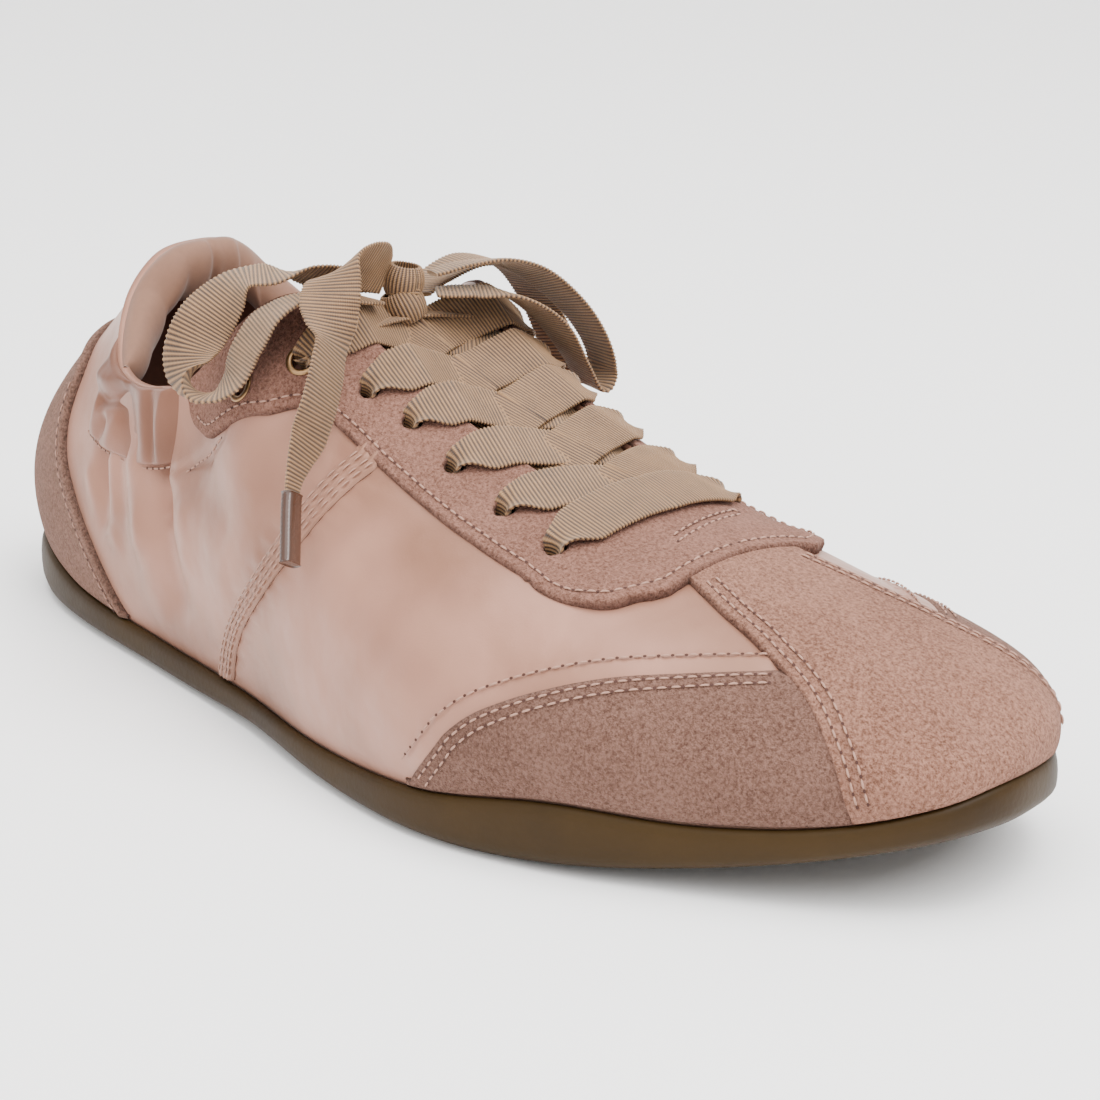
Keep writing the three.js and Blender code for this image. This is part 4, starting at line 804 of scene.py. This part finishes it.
def lacing():
    """Each ribbon comes out from under one edge of the throat, crosses over and goes down a hole opposite."""
    skin = Skin()
    rounds = HOLES["round"]
    routes = [(rounds[0], rounds[0], 1, 0.4, True)]
    for i in range(5):
        routes.append((rounds[i], rounds[i + 1], 1, 1.0, False))
        routes.append((rounds[i], rounds[i + 1], -1, 0.1, False))
    dense = np.linspace(-1, 1, 400)
    for start, end, heading, lift, both in routes:
        q = start + (end - start) * (dense + 1) / 2
        comes_up = np.interp(dense, [-1, -0.72, -0.5, -0.3, 0.0, 0.35, 0.6, 0.9, 0.965, 1.0],
                             [-3.0, -2.6, -1.6, 0.2, 0.6 + lift, 1.2 + lift * 0.6, 1.85, 1.85, 1.25, -1.8])
        dives = np.interp(np.abs(dense), [0, 0.3, 0.6, 0.9, 0.965, 1.0],
                          [1.9 + lift, 2.0 + lift, 2.25, 1.85, 1.25, -1.8])
        line = instep(q, dense * heading, dives if both else comes_up)
        shares, _ = even_steps(line, RIB_PITCH / 4)
        line = np.stack([np.interp(shares * 2 - 1, dense, line[:, k]) for k in range(3)], -1)
        for _ in range(12):
            line[1:-1] = (line[:-2] + 2 * line[1:-1] + line[2:]) / 4
        s = shares * 2 - 1
        q = start + (end - start) * (s + 1) / 2
        middle, top = instep(q, s * heading, 0 * s), instep(q, s * heading, 0 * s + 1)
        run = unit(np.gradient(instep(q, s * heading * 0.94, 0 * s), axis=0))
        hole = np.clip((1.0 - (np.abs(s) if both else s)) / 0.30, 0, 1)
        hole = hole * hole * (3 - 2 * hole)
        across = np.cross(run, unit(top - middle))
        sweep(skin, line, across, RIBBON * (0.40 + 0.60 * hole), cup=1.5 * (1 - hole))
    # From the rings of the sixth pair the ribbon fans out and runs up to the knot.
    for side, u in (("outer", rounds[5]), ("inner", 1 - rounds[5])):
        place = np.array([[u]]), np.array([[HOLES[side][5]]])
        hole, n = upper_point(*place)[0, 0], upper_normal(*place)[0, 0]
        end = KNOT + np.array([0.4, -1.6 if side == "outer" else 1.6, -4.9])
        between = (hole + end) / 2 + np.array([0, 0, 3.4])
        share = np.linspace(0, 1, 130)
        line = bezier([hole - 2.2 * n, hole + 4.5 * n, between, end], share)
        run = unit(np.gradient(line, axis=0))
        fan = np.interp(share, [0, 0.18, 0.6, 1.0], [0.36, 0.42, 0.95, 0.7])
        sweep(skin, line, np.cross(run, [0, 0, 1.0]), RIBBON * fan, cup=1.2 * (1 - share))
    return skin.piece("ribbon_lacing", [GROSGRAIN], ["lace_crossings"])


lacing()


# The sole
def outsole():
    """Rounded rand, lip and footbed round the outline, with the underside's arch, grooves and fine tread."""
    skin = Skin()
    u = np.linspace(0, 1, 601)[:-1]
    section = [
        (3.2, 0.0, 0.0), (2.2, 0.0, 0.15), (1.2, 0.03, 0.5), (0.5, 0.12, 0.45), (0.15, 0.25, 0.2),
        (0.0, 0.45, 0.0), (0.0, 0.62, 0.0), (0.12, 0.78, 0.0), (0.35, 0.9, 0.0), (0.7, 0.98, -0.05),
        (1.2, 1.0, 0.0), (1.7, 1.0, 0.02), (2.05, 1.0, -0.12), (2.2, 1.0, -0.4), (2.2, 1.0, -0.9)]
    rings = []
    for depth, up, lift in section:
        x, y = inset(u, depth)
        low = ground(x) + arch(x, y)
        wave = 0.10 * np.sin(2 * np.pi * u * 9.0 + 1.0) * np.sin(np.pi * up) if up < 1 else 0
        rings.append(np.stack([x, y, low + (rand_top(u) - low) * up + lift + wave], -1))
    wall = np.stack(rings, 1)
    skin.grid(wall, around=True)
    for row, up, rows in ((0, False, 81), (-1, True, 13)):
        ring = np.concatenate([wall[:, row], wall[:1, row]])
        share = np.linspace(0, 1, rows)[None, :, None]
        points = ring[:361][:, None, :] * (1 - share) + ring[::-1][:361][:, None, :] * share
        if not up:
            x, y = points[..., 0], points[..., 1]
            points[..., 2] = ground(x) + arch(x, y)
            across = np.abs(ring[:361, 1] - ring[::-1][:361, 1])[:, None]
            inside = np.clip(np.minimum(share[..., 0], 1 - share[..., 0]) * across / 2.0, 0, 1)
            for place in (0.12, 0.17, 0.22, 0.62, 0.67, 0.72, 0.77, 0.82):
                turn = math.radians(0 if place < 0.5 else -12)
                line = (x - LENGTH * place) * math.cos(turn) + y * math.sin(turn)
                points[..., 2] += 1.2 * np.exp(-((line / 1.0) ** 4)) * inside
            points[..., 2] += 0.25 * inside * (np.sin(2 * np.pi * y / 3.4) > 0.6) * (points[..., 2] < 12)
        skin.grid(points, flip=up)
    return skin.piece("gum_outsole", [RUBBER], ["outsole"])


outsole()


def insole():
    """A soft slab inside the upper, a little hollow at the heel."""
    skin = Skin()
    u = np.linspace(0, 1, 361)[:-1]
    x, y = inset(u, INSET + WALL + 1.2)
    low = rand_top(u) - LIP + 0.5
    rings = np.stack([np.stack([x, y, low + lift], -1) for lift in (0.0, 0.6, 2.2, 2.9)], 1)
    xi, yi = inset(u, INSET + WALL + 2.0)
    rings = np.concatenate([rings, np.stack([xi, yi, low + 3.1], -1)[:, None]], 1)
    skin.grid(rings, around=True)
    for row, up in ((0, False), (-1, True)):
        ring = np.concatenate([rings[:, row], rings[:1, row]])
        share = np.linspace(0, 1, 25)[None, :, None]
        points = ring[:181][:, None, :] * (1 - share) + ring[::-1][:181][:, None, :] * share
        if up:
            dip = np.sin(np.pi * share[..., 0]) * np.exp(-((points[..., 0] - 35.0) / 30.0) ** 2)
            points[..., 2] -= 0.9 * dip
        skin.grid(points, flip=up)
    # The insole takes the inside's darker colour, which is painted shade.
    return skin.piece("foam_insole", [INNER], ["insole"])


insole()


# The upper
def shell(skin, outer, inner, maps=None):
    """Two faces over one grid of places, with walls along its four rims."""
    skin.grid(outer, maps)
    skin.grid(inner, maps, flip=True)
    skin.grid(np.stack([inner[:, 0], outer[:, 0]], 1))
    skin.grid(np.stack([outer[:, -1], inner[:, -1]], 1))
    skin.grid(np.stack([inner[0], outer[0]], 0), flip=True)
    skin.grid(np.stack([inner[-1], outer[-1]], 0))


def punched(skin, outer, inner, dead, joined, picks=(0, 0), maps=None, closed=False):
    """Two faces over a grid without its dead points, and a wall along every rim but the joined one."""
    n, m = dead.shape
    i, j = np.meshgrid(np.arange(n if closed else n - 1), np.arange(m - 1), indexing="ij")
    i, j = i.ravel(), j.ravel()
    k = (i + 1) % n
    keep = ~(dead[i, j] | dead[k, j] | dead[k, j + 1] | dead[i, j + 1])
    i, j, k = i[keep], j[keep], k[keep]
    quads = np.stack([i * m + j, k * m + j, k * m + j + 1, i * m + j + 1], -1)
    skin.add(outer.reshape(-1, 3), quads, maps, picks[0])
    skin.add(inner.reshape(-1, 3), quads[:, ::-1], None, picks[1])
    total = n * m
    start, end = quads.ravel(), np.roll(quads, -1, axis=1).ravel()
    rim = ~np.isin(start * total + end, end * total + start) & ~(joined.ravel()[start] & joined.ravel()[end])
    start, end = start[rim], end[rim]
    walls = np.stack([end, start, start + total, end + total], -1)
    skin.add(np.concatenate([outer.reshape(-1, 3), inner.reshape(-1, 3)]), walls, None, picks[0])


HOLE_PLACES = [(u if side == "outer" else 1 - u, rise) for side in ("outer", "inner")
               for u, rise in zip(HOLES["round"], HOLES[side])]


def punch(points, radius, soft):
    """Points near a lace hole move onto its rim; those inside are dead. Also gives the distance to the hole."""
    dead = np.zeros(points.shape[:2], bool)
    nearest = np.full(points.shape[:2], 99.0)
    for u, t in HOLE_PLACES:
        centre = upper_point(np.array([[u]]), np.array([[t]]))[0, 0]
        away = points - centre
        reach = np.linalg.norm(away, axis=-1)
        ring = np.abs(reach - radius) < soft
        on_rim = centre + away / np.maximum(reach, 0.1)[..., None] * radius
        points = np.where(ring[..., None], on_rim, points)
        dead |= reach <= radius - soft
        nearest = np.minimum(nearest, reach)
    return points, dead, nearest


def upper():
    """The satin upper with its lining: the form, its creases, its holes, and a wall of one thickness."""
    skin = Skin()
    half = np.concatenate([np.linspace(0, THROAT_FRONT, 225), np.linspace(THROAT_FRONT, 0.5, 105)[1:]])
    u = np.concatenate([half, (1 - half[1:-1])[::-1]])
    uu, tt = np.meshgrid(u, np.linspace(0, 1, 58), indexing="ij")
    points, normals = upper_point(uu, tt), upper_normal(uu, tt)
    points, dead, _ = punch(points, PUNCH + 0.3, 0.6)
    ridge = np.minimum(uu, 1 - uu) >= THROAT_FRONT - 1e-9
    fade = np.clip(tt / 0.08, 0, 1) * np.where(ridge, np.clip((1 - tt) / 0.1, 0, 1), 1)
    outer = points + normals * (creases(uu, tt) * fade)[..., None]
    inner = outer - normals * WALL
    punched(skin, outer, inner, dead, ridge & (tt == 1), (0, 1), closed=True)
    # The upper's inner face takes the inside's darker colour, which is painted shade.
    return skin.piece("satin_upper", [SATIN, INNER], ["upper"])


upper()


def rim_distance(points):
    """Distances of each grid point to the grid's four rims, measured along the grid."""
    def both_ways(axis):
        step = np.linalg.norm(np.diff(points, axis=axis), axis=-1)
        pad = np.zeros_like(np.take(step, [0], axis=axis))
        ahead = np.concatenate([pad, np.cumsum(step, axis=axis)], axis=axis)
        total = np.take(ahead, [-1], axis=axis)
        return ahead, total - ahead
    return *both_ways(0), *both_ways(1)


def overlay(name, u, low, high, rows, finish, node_name, thick=1.0, open_rims=(), puff=None):
    """A sheet of suede or satin on the upper, whose edges round down to it."""
    skin = Skin()
    share = np.linspace(0, 1, rows)
    uu = np.broadcast_to(u[:, None], (len(u), rows))
    tt = low[:, None] + (high - low)[:, None] * share[None, :]
    points, normals = upper_point(uu, tt), upper_normal(uu, tt)
    names = ("start", "end", "low", "high")
    rims = [r for k, r in zip(names, rim_distance(points)) if k not in open_rims]
    near = np.minimum.reduce(rims) if rims else np.full(points.shape[:2], 99.0)
    soft = np.sqrt(1 - (1 - np.clip(near / 0.6, 0, 1)) ** 2)
    height = thick * (0.35 + 0.65 * soft)
    if puff is not None:
        height = puff(height, uu, share[None, :])
    outer = points + normals * height[..., None]
    inner = points - normals * 0.3
    maps = np.stack([near, 0 * near], -1)
    shell(skin, outer, np.where((height < 0.2)[..., None], outer - 0.5 * normals, inner), maps=maps)
    return skin.piece(name, [finish], [node_name])


def above_lip(u):
    """Rise at which a sheet on the upper clears the sole's lip."""
    c = controls(u)
    return (LIP + 0.25) / (3 * (c[:, 1, 2] - c[:, 0, 2]))


def pair(values):
    """Places on the outer side and the same places on the inner side."""
    return values, (1 - values)[::-1]


def toe_strip():
    """The strip over the toe, slanted at its sides and one piece round the tip. It starts under the eyestay."""
    side = np.concatenate([np.linspace(0.356, 0.42, 40), np.linspace(0.42, 0.451, 50)[1:],
                           np.linspace(0.451, 0.5, 44)[1:]])
    u = np.concatenate([side, (1 - side[:-1])[::-1]])
    low = np.maximum(read(STRIP, "rise", np.minimum(u, 1 - u)), above_lip(u))
    overlay("suede_toe_strip", u, low, np.ones_like(u), 50, STRIP_SUEDE, "toe_strip", thick=1.3,
            open_rims=("high",))


def wings():
    """The two suede wings along the rand, tucked under the strip."""
    side = np.concatenate([np.linspace(0.310, 0.42, 100), np.linspace(0.42, 0.4505, 50)[1:]])
    for name, u, node_name in zip(("suede_wing_outer", "suede_wing_inner"), pair(side),
                                  ("toe_wing_lateral", "toe_wing_medial")):
        q = np.minimum(u, 1 - u)
        low = above_lip(u)
        strip = read(STRIP, "rise", q) + 0.03
        high = np.maximum(np.minimum(read(WING, "rise", q), strip), low + 0.015)
        overlay(name, u, low, high, 37, WING_SUEDE, node_name, thick=0.9)


def heel_counter():
    """The suede round the heel, its front edge turned over a cord."""
    half = np.linspace(0, 0.122, 100)
    u = np.concatenate([(-half[1:])[::-1], half])
    low = above_lip(u)
    high = np.maximum(read(COUNTER, "rise", np.abs(u)), low + 0.012)

    def cord(height, uu, share):
        rim = (high - low)[:, None] * (1 - share) * 55.0
        return height + 0.6 * np.exp(-(((rim - 1.4) / 1.1) ** 2))
    overlay("suede_heel_counter", u, low, high, 48, COUNTER_SUEDE, "heel_counter", puff=cord)


# Folds of the gathered cuff, over its length and its height, with half width and height in millimetres.
FOLDS = columns("x0 y0 x1 y1 wide deep", [
    (0.12, 0.72, 0.42, 1.00, 2.6, 1.7), (0.16, 0.46, 0.44, 0.74, 1.6, -1.5),
    (0.05, 0.95, 0.12, 0.15, 3.2, 0.8), (0.44, 0.90, 0.58, 0.15, 7.0, -2.2),
    (0.66, 1.05, 0.74, 0.05, 3.2, 0.5), (0.76, 1.05, 0.84, -0.05, 2.0, -1.3),
    (0.92, 0.90, 0.98, 0.20, 5.0, 0.9), (0.21, 0.00, 0.25, 0.26, 2.0, -1.8),
    (0.34, 0.05, 0.40, 0.40, 2.4, 0.5), (0.60, 0.00, 0.62, 0.30, 1.6, -0.6)])
CUFF_ENDS = (0.066, 0.154)


def cuffs():
    """Gathered satin at the collar's sides: puffed, with folds, and flat where it meets the upper."""
    side = np.linspace(*CUFF_ENDS, 150)
    for name, u, node_name in zip(("satin_cuff_outer", "satin_cuff_inner"), pair(side),
                                  ("cuff_lateral", "cuff_medial")):

        def folds(height, uu, share):
            s = (np.minimum(uu, 1 - uu) - CUFF_ENDS[0]) / (CUFF_ENDS[1] - CUFF_ENDS[0])
            swell = np.sin(np.pi * (0.04 + 0.90 * share)) ** 0.6
            ends = np.clip(np.minimum(s / 0.16, (1 - s) / 0.12), 0, 1)
            ends = ends * ends * (3 - 2 * ends)
            full = height + (1.3 + bells(FOLDS, s, share, 51.0, 19.0)) * swell
            return full * ends - 0.5 * (1 - ends)
        low = read(CUFF, "rise", np.minimum(u, 1 - u))
        overlay(name, u, low, np.ones_like(u), 50, CUFF_SATIN, node_name, thick=0.8, puff=folds)


def seam_bands():
    """The satin band over each side seam, with its turned edges and the puckers of four rows of thread."""
    for name, inner, node_name in (("satin_band_outer", False, "seam_band_lateral"),
                                   ("satin_band_inner", True, "seam_band_medial")):
        t = np.linspace(0.02, 0.80, 220)
        across = np.linspace(-1, 1, 25)
        q = read(BAND, "round", t, "rise")[:, None] + 2.9 / GIRTH * across[None, :]
        uu = 1 - q if inner else q
        tt = np.broadcast_to(t[:, None], uu.shape)
        points, normals = upper_point(uu, tt), upper_normal(uu, tt)
        rounded = np.sqrt(np.clip(1 - np.abs(across) ** 6, 0, 1))[None, :]
        between = np.cos(across * np.pi * 4)[None, :]
        pucker = 0.10 * np.sin(2 * np.pi * t * HEIGHT / 2.6)[:, None] * np.cos(across * 5.0)[None, :]
        height = 0.15 + (0.80 + 0.14 * between + pucker) * rounded
        outer, under = points + normals * height[..., None], points - normals * 0.3
        if inner:
            outer, under = outer[:, ::-1], under[:, ::-1]
        skin = Skin()
        shell(skin, outer.transpose(1, 0, 2), under.transpose(1, 0, 2))
        skin.piece(name, [BAND_SATIN], [node_name])


def collar_roll():
    """The padded lining that swells over the heel tab's edge, with a seam down its middle."""
    skin = Skin()
    q = np.linspace(-ROLL_END, ROLL_END, 201)
    u = np.mod(q, 1.0)
    one = np.ones_like(u)
    top, below = upper_point(u, one), upper_point(u, one * 0.97)
    n, up = upper_normal(u, one * 0.99), unit(top - below)
    ends = np.sqrt(np.clip(1 - np.abs(q / ROLL_END) ** 3.5, 0.01, 1))
    seam = 1 - 0.10 * np.exp(-((q / 0.0022) ** 2))
    radius = ROLL * ends * seam * (1 + 0.03 * np.sin(q * 260))
    centre = top - n * (WALL - 1.3 + radius)[:, None] - up * (0.80 * radius)[:, None]
    angle = np.linspace(0, 2 * np.pi, 41)[:-1]
    ring = (centre[:, None] + n[:, None] * (radius[:, None] * np.cos(angle))[..., None]
            + up[:, None] * (1.55 * radius[:, None] * np.sin(angle))[..., None])
    skin.grid(ring, across=True)
    for end, flip in ((0, False), (-1, True)):
        cap = np.stack([ring[end][:21], ring[end][-np.arange(21)]], 0)
        skin.grid(cap, flip=flip)
    made = skin.piece("padded_collar_roll", [LINING], ["collar_roll"])


def tongue():
    """The tongue under the throat, a padded sheet that sags between the eyestay's sides."""
    skin = Skin()
    q = np.linspace(0.214, 0.345, 90)
    cross = np.linspace(-1.02, 1.02, 61)
    qq, cc = np.meshgrid(q, cross, indexing="ij")
    top = instep(qq, cc, np.full(qq.shape, -(WALL + 1.4)) - 0.6 * np.abs(cc) ** 6)
    low = instep(qq, cc, np.full(qq.shape, -(WALL + 3.9)) + 0.6 * np.abs(cc) ** 6)
    shell(skin, top, low)
    # Its dark colour is painted shade.
    made = skin.piece("dark_tongue", [TONGUE_SHADE], ["tongue"])


def front_swell(q, t):
    """How far the eyestay's front edge swells forward, as a share of the round."""
    rise, near = np.clip((t - 0.66) / 0.08, 0, 1), np.clip((q - 0.345) / 0.017, 0, 1)
    return 0.004 * near * rise * rise * (3 - 2 * rise)


def eyestay_lift(q):
    """The eyestay rises over the toe strip that ends under it."""
    share = np.clip((q - 0.340) / 0.014, 0, 1)
    return 0.95 * share * share * (3 - 2 * share)


def eyestay():
    """The suede U round the throat, with its punched holes and rounded edges."""
    side = np.concatenate([np.linspace(0.158, THROAT_FRONT, 260), np.linspace(THROAT_FRONT, 0.362, 56)[1:]])
    skin = Skin()
    for inner_side, u in enumerate(pair(side)):
        low = read(EYESTAY, "rise", np.minimum(u, 1 - u))[:, None]
        tt = low + (1 - low) * np.linspace(0, 1, 41)[None, :]
        q = np.broadcast_to(np.minimum(u, 1 - u)[:, None], tt.shape)
        uu = u[:, None] + front_swell(q, tt) * (-1 if inner_side else 1)
        points, normals = upper_point(uu, tt), upper_normal(uu, tt)
        start, end, below, above = rim_distance(points)
        front = start if inner_side else end
        rear = end if inner_side else start
        ridge = q >= THROAT_FRONT - 1e-9
        near = np.minimum.reduce([below, np.where(ridge, 99, above), front, rear])
        points, dead, reach = punch(points, PUNCH, 0.35)
        near = np.where(reach < 4, np.minimum(near, np.maximum(reach - PUNCH + 0.1, 0.0) * 1.2), near)
        soft = np.sqrt(1 - (1 - np.clip(near / 0.6, 0, 1)) ** 2)
        outer = points + normals * (SUEDE_THICK * (0.3 + 0.7 * soft) + eyestay_lift(q))[..., None]
        maps = np.stack([near, 0 * near], -1)
        punched(skin, outer, points - normals * 0.2, dead, ridge & (tt == 1), maps=maps)
    skin.piece("suede_eyestay", [SUEDE], ["eyestay"])


toe_strip()
wings()
heel_counter()
cuffs()
seam_bands()
collar_roll()
tongue()
eyestay()


def rings():
    """Thin rings of antique metal in the two rearmost holes of each side: a torus of flattened section."""
    for side, inner in (("lateral", False), ("medial", True)):
        for number in (6, 7):
            hu = HOLES["round"][number - 1]
            ht = HOLES["inner" if inner else "outer"][number - 1]
            u = np.array([[1 - hu if inner else hu]])
            t = np.array([[ht]])
            centre, n = upper_point(u, t)[0, 0], upper_normal(u, t)[0, 0]
            first = unit(np.cross(n, [0, 0, 1.0]))
            second = np.cross(n, first)
            angle = np.linspace(0, 2 * np.pi, 41)[:-1]
            section = np.linspace(0, 2 * np.pi, 13)[:-1]
            spoke = np.cos(angle)[:, None] * first + np.sin(angle)[:, None] * second
            ring = (centre + n * 1.15 + spoke[:, None] * (2.55 + 0.62 * np.cos(section))[None, :, None]
                    + n * (0.32 * np.sin(section))[None, :, None])
            skin = Skin()
            skin.grid(ring, around=True, across=True)
            skin.piece(f"ring_{side}_{number}", [BRONZE], [f"eyelet_{side}_{number}"])


rings()


# Stitches
def at_shares(line, shares):
    """Points of a dense line at shares of its rows."""
    dense = np.linspace(0, 1, len(line))
    return np.stack([np.interp(shares, dense, line[:, k]) for k in range(3)], -1)


def woven_index(rows, around, count):
    """Quads of many small tubes at once: rows along each, points around each, and their count."""
    i, j, k = np.meshgrid(np.arange(rows - 1), np.arange(around), np.arange(count), indexing="ij")
    a, b = (i * around + j) * count + k, ((i + 1) * around + j) * count + k
    c, d = ((i + 1) * around + (j + 1) % around) * count + k, (i * around + (j + 1) % around) * count + k
    return np.stack([a, b, c, d], -1).reshape(-1, 4)


def stitch_row(skin, line, normals, pitch=2.3, long=1.65, wide=0.42, holes=True):
    """Thread along a line: each stitch is a small bowed bar, with a dark disc of painted shade for the needle
    hole between two stitches.
    """
    shares, _ = even_steps(line, pitch)
    shares = (shares[:-1] + shares[1:]) / 2
    centre, n = at_shares(line, shares), unit(at_shares(normals, shares))
    ahead, behind = np.minimum(shares + 0.002, 1), np.maximum(shares - 0.002, 0)
    run = unit(at_shares(line, ahead) - at_shares(line, behind))
    side = np.cross(n, run)
    s = np.linspace(-1, 1, 6)
    angle = np.linspace(0, 2 * np.pi, 7)[:-1]
    fat = np.sqrt(np.clip(1 - s**4, 0.05, 1))
    x = (long / 2 * s)[:, None] + 0 * angle
    y = wide / 2 * fat[:, None] * np.cos(angle)
    z = 0.16 * (1 - s**2)[:, None] + wide / 2 * fat[:, None] * np.sin(angle)
    shape = x[..., None, None] * run + y[..., None, None] * side + z[..., None, None] * n + centre
    skin.add(shape.reshape(-1, 3), woven_index(6, 6, len(centre)), None, 0)
    if holes:
        top = centre + run * (pitch / 2) + n * 0.12
        disc = np.linspace(0, 2 * np.pi, 9)[:-1]
        rim = top + (np.cos(disc) * 0.34)[:, None, None] * run + (np.sin(disc) * 0.27)[:, None, None] * side
        both = np.stack([np.broadcast_to(top, rim.shape), rim])
        skin.add(both.reshape(-1, 3), woven_index(2, 8, len(centre)), None, 1)


def edge_line(u, t, depth, lift, inwards=1.0):
    """A line on the upper that keeps a distance in millimetres from an edge given by its places."""
    points, n = upper_point(u, t), upper_normal(u, t)
    side = unit(np.cross(n, unit(np.gradient(points, axis=0)))) * inwards
    return points + side * depth + n * np.reshape(lift, (-1, 1)), n


def eyestay_line(inner, depth):
    """The eyestay's edge from the collar to the ridge, moved in by a depth and eased round its corner."""
    q = np.linspace(0.160, 0.3565, 380)
    sign = -1.0 if inner else 1.0
    rise, lift = read(EYESTAY, "rise", q), SUEDE_THICK + eyestay_lift(q)
    below, n = edge_line(1 - q if inner else q, rise, depth, lift, sign)
    t = np.linspace(0.735, 0.985, 60)
    front = 0.362 + front_swell(0.362, t)
    ahead, m = edge_line(1 - front if inner else front, t, depth, 2.0, sign)
    line, normals = np.vstack([below, ahead]), np.vstack([n, m])
    shares, _ = even_steps(line, 0.4)
    line, normals = at_shares(line, shares), at_shares(normals, shares)
    for _ in range(14):
        line[1:-1] = (line[:-2] + 2 * line[1:-1] + line[2:]) / 4
    return line, normals


def stitches():
    """All rows of thread, each laid a little inside the edge that it holds."""
    skin = Skin()
    for inner in (False, True):
        sign = -1.0 if inner else 1.0
        line, n = eyestay_line(inner, 2.4)
        stitch_row(skin, line[6:], n[6:])
        for table, first, last, depth, lift, into in (
                (STRIP, 0.368, 0.4495, 2.0, 1.3, sign), (STRIP, 0.368, 0.4495, 3.9, 1.3, sign),
                (WING, 0.314, 0.412, 1.3, 0.9, -sign), (WING, 0.314, 0.412, 3.1, 0.9, -sign),
                (WING, 0.314, 0.412, -3.2, 0.62, -sign), (COUNTER, 0.045, 0.118, 3.0, 1.0, -sign),
                (CUFF, 0.070, 0.1525, -0.6, 0.15, sign), (SEAM, 0.1525, 0.1945, -0.3, 0.1, sign)):
            q = np.linspace(first, last, 300)
            line, n = edge_line(1 - q if inner else q, read(table, "rise", q), depth, lift, into)
            stitch_row(skin, line[4:-4], n[4:-4])
        t = np.linspace(0.035, 0.755, 300)
        for shift in (-2.0, -0.8, 0.8, 2.0):
            q = read(BAND, "round", t, "rise") + shift / GIRTH
            u = 1 - q if inner else q
            points, n = upper_point(u, t), upper_normal(u, t)
            stitch_row(skin, points + n * 1.0, n, pitch=2.6, long=1.9, wide=0.34, holes=False)
    # A stitched slot lies across the front of the eyestay, over the ridge.
    q = np.concatenate([np.linspace(0.3488, 0.3455, 30), np.linspace(0.3455, 0.3403, 30)[1:]])
    t = np.concatenate([np.linspace(0.903, 1.0, 30), np.linspace(1.0, 0.816, 30)[1:]])
    u = np.concatenate([q[:30], 1 - q[30:]])
    points, n = upper_point(u, t), upper_normal(u, t)
    points = points + n * (1.1 + eyestay_lift(q))[:, None]
    side = unit(np.cross(n, unit(np.gradient(points, axis=0)))) * 0.85
    loop = np.concatenate([points + side, (points - side)[::-1], points[:1] + side[:1]])
    stitch_row(skin, loop, np.concatenate([n, n[::-1], n[:1]]), pitch=2.1, long=1.4)
    return skin.piece("seam_thread", [THREAD, NEEDLE_HOLE_SHADE], merge=False)


stitches()


# Floor and light
def stage():
    """A plain pale floor that curves up behind the shoe, and soft studio lamps."""
    skin = Skin()
    x = np.linspace(-1500, 1500, 3)
    run = np.array([(-1.5, 0), (0.9, 0), (1.15, 0.05), (1.3, 0.2), (1.38, 0.45), (1.4, 1.8)]) * 1000
    back = np.array([-math.sin(AZIMUTH), math.cos(AZIMUTH)])
    side = np.array([math.cos(AZIMUTH), math.sin(AZIMUTH)])
    flat = x[:, None, None] * side + run[None, :, :1] * back
    points = np.concatenate([flat, np.broadcast_to(run[None, :, 1:], (3, len(run), 1))], -1)
    skin.grid(points - np.array([0, 0, 0.3]) - SHIFT)
    made, _, base = material("pale_paper_floor", Roughness=0.9)
    base.inputs["Base Color"].default_value = linear("#fbfaf9")
    floor = bpy.data.meshes.new("floor")
    data = (np.concatenate(skin.points) + SHIFT) * 0.001
    floor.from_pydata(data.tolist(), [], np.concatenate(skin.faces).tolist())
    floor.materials.append(made)
    obj = bpy.data.objects.new("floor", floor)
    bpy.context.scene.collection.objects.link(obj)
    lamps = (("key", 95, 52, 1.3, 1.0, 24), ("fill", 5, 35, 1.5, 1.2, 10), ("top", 50, 86, 1.4, 1.3, 29))
    for name, azimuth, elevation, far, size, power in lamps:
        a, e = math.radians(azimuth), math.radians(elevation)
        place = Vector((math.sin(a) * math.cos(e), -math.cos(a) * math.cos(e), math.sin(e))) * far
        lamp = bpy.data.lights.new(name, "AREA")
        lamp.size = size
        lamp.energy = power
        thing = bpy.data.objects.new(name, lamp)
        thing.location = place
        thing.rotation_euler = place.to_track_quat("Z", "Y").to_euler()
        bpy.context.scene.collection.objects.link(thing)
    world = bpy.data.worlds.new("studio")
    world.use_nodes = True
    world.node_tree.nodes["Background"].inputs["Color"].default_value = linear("#ffffff")
    world.node_tree.nodes["Background"].inputs["Strength"].default_value = 1.05
    bpy.context.scene.world = world


stage()
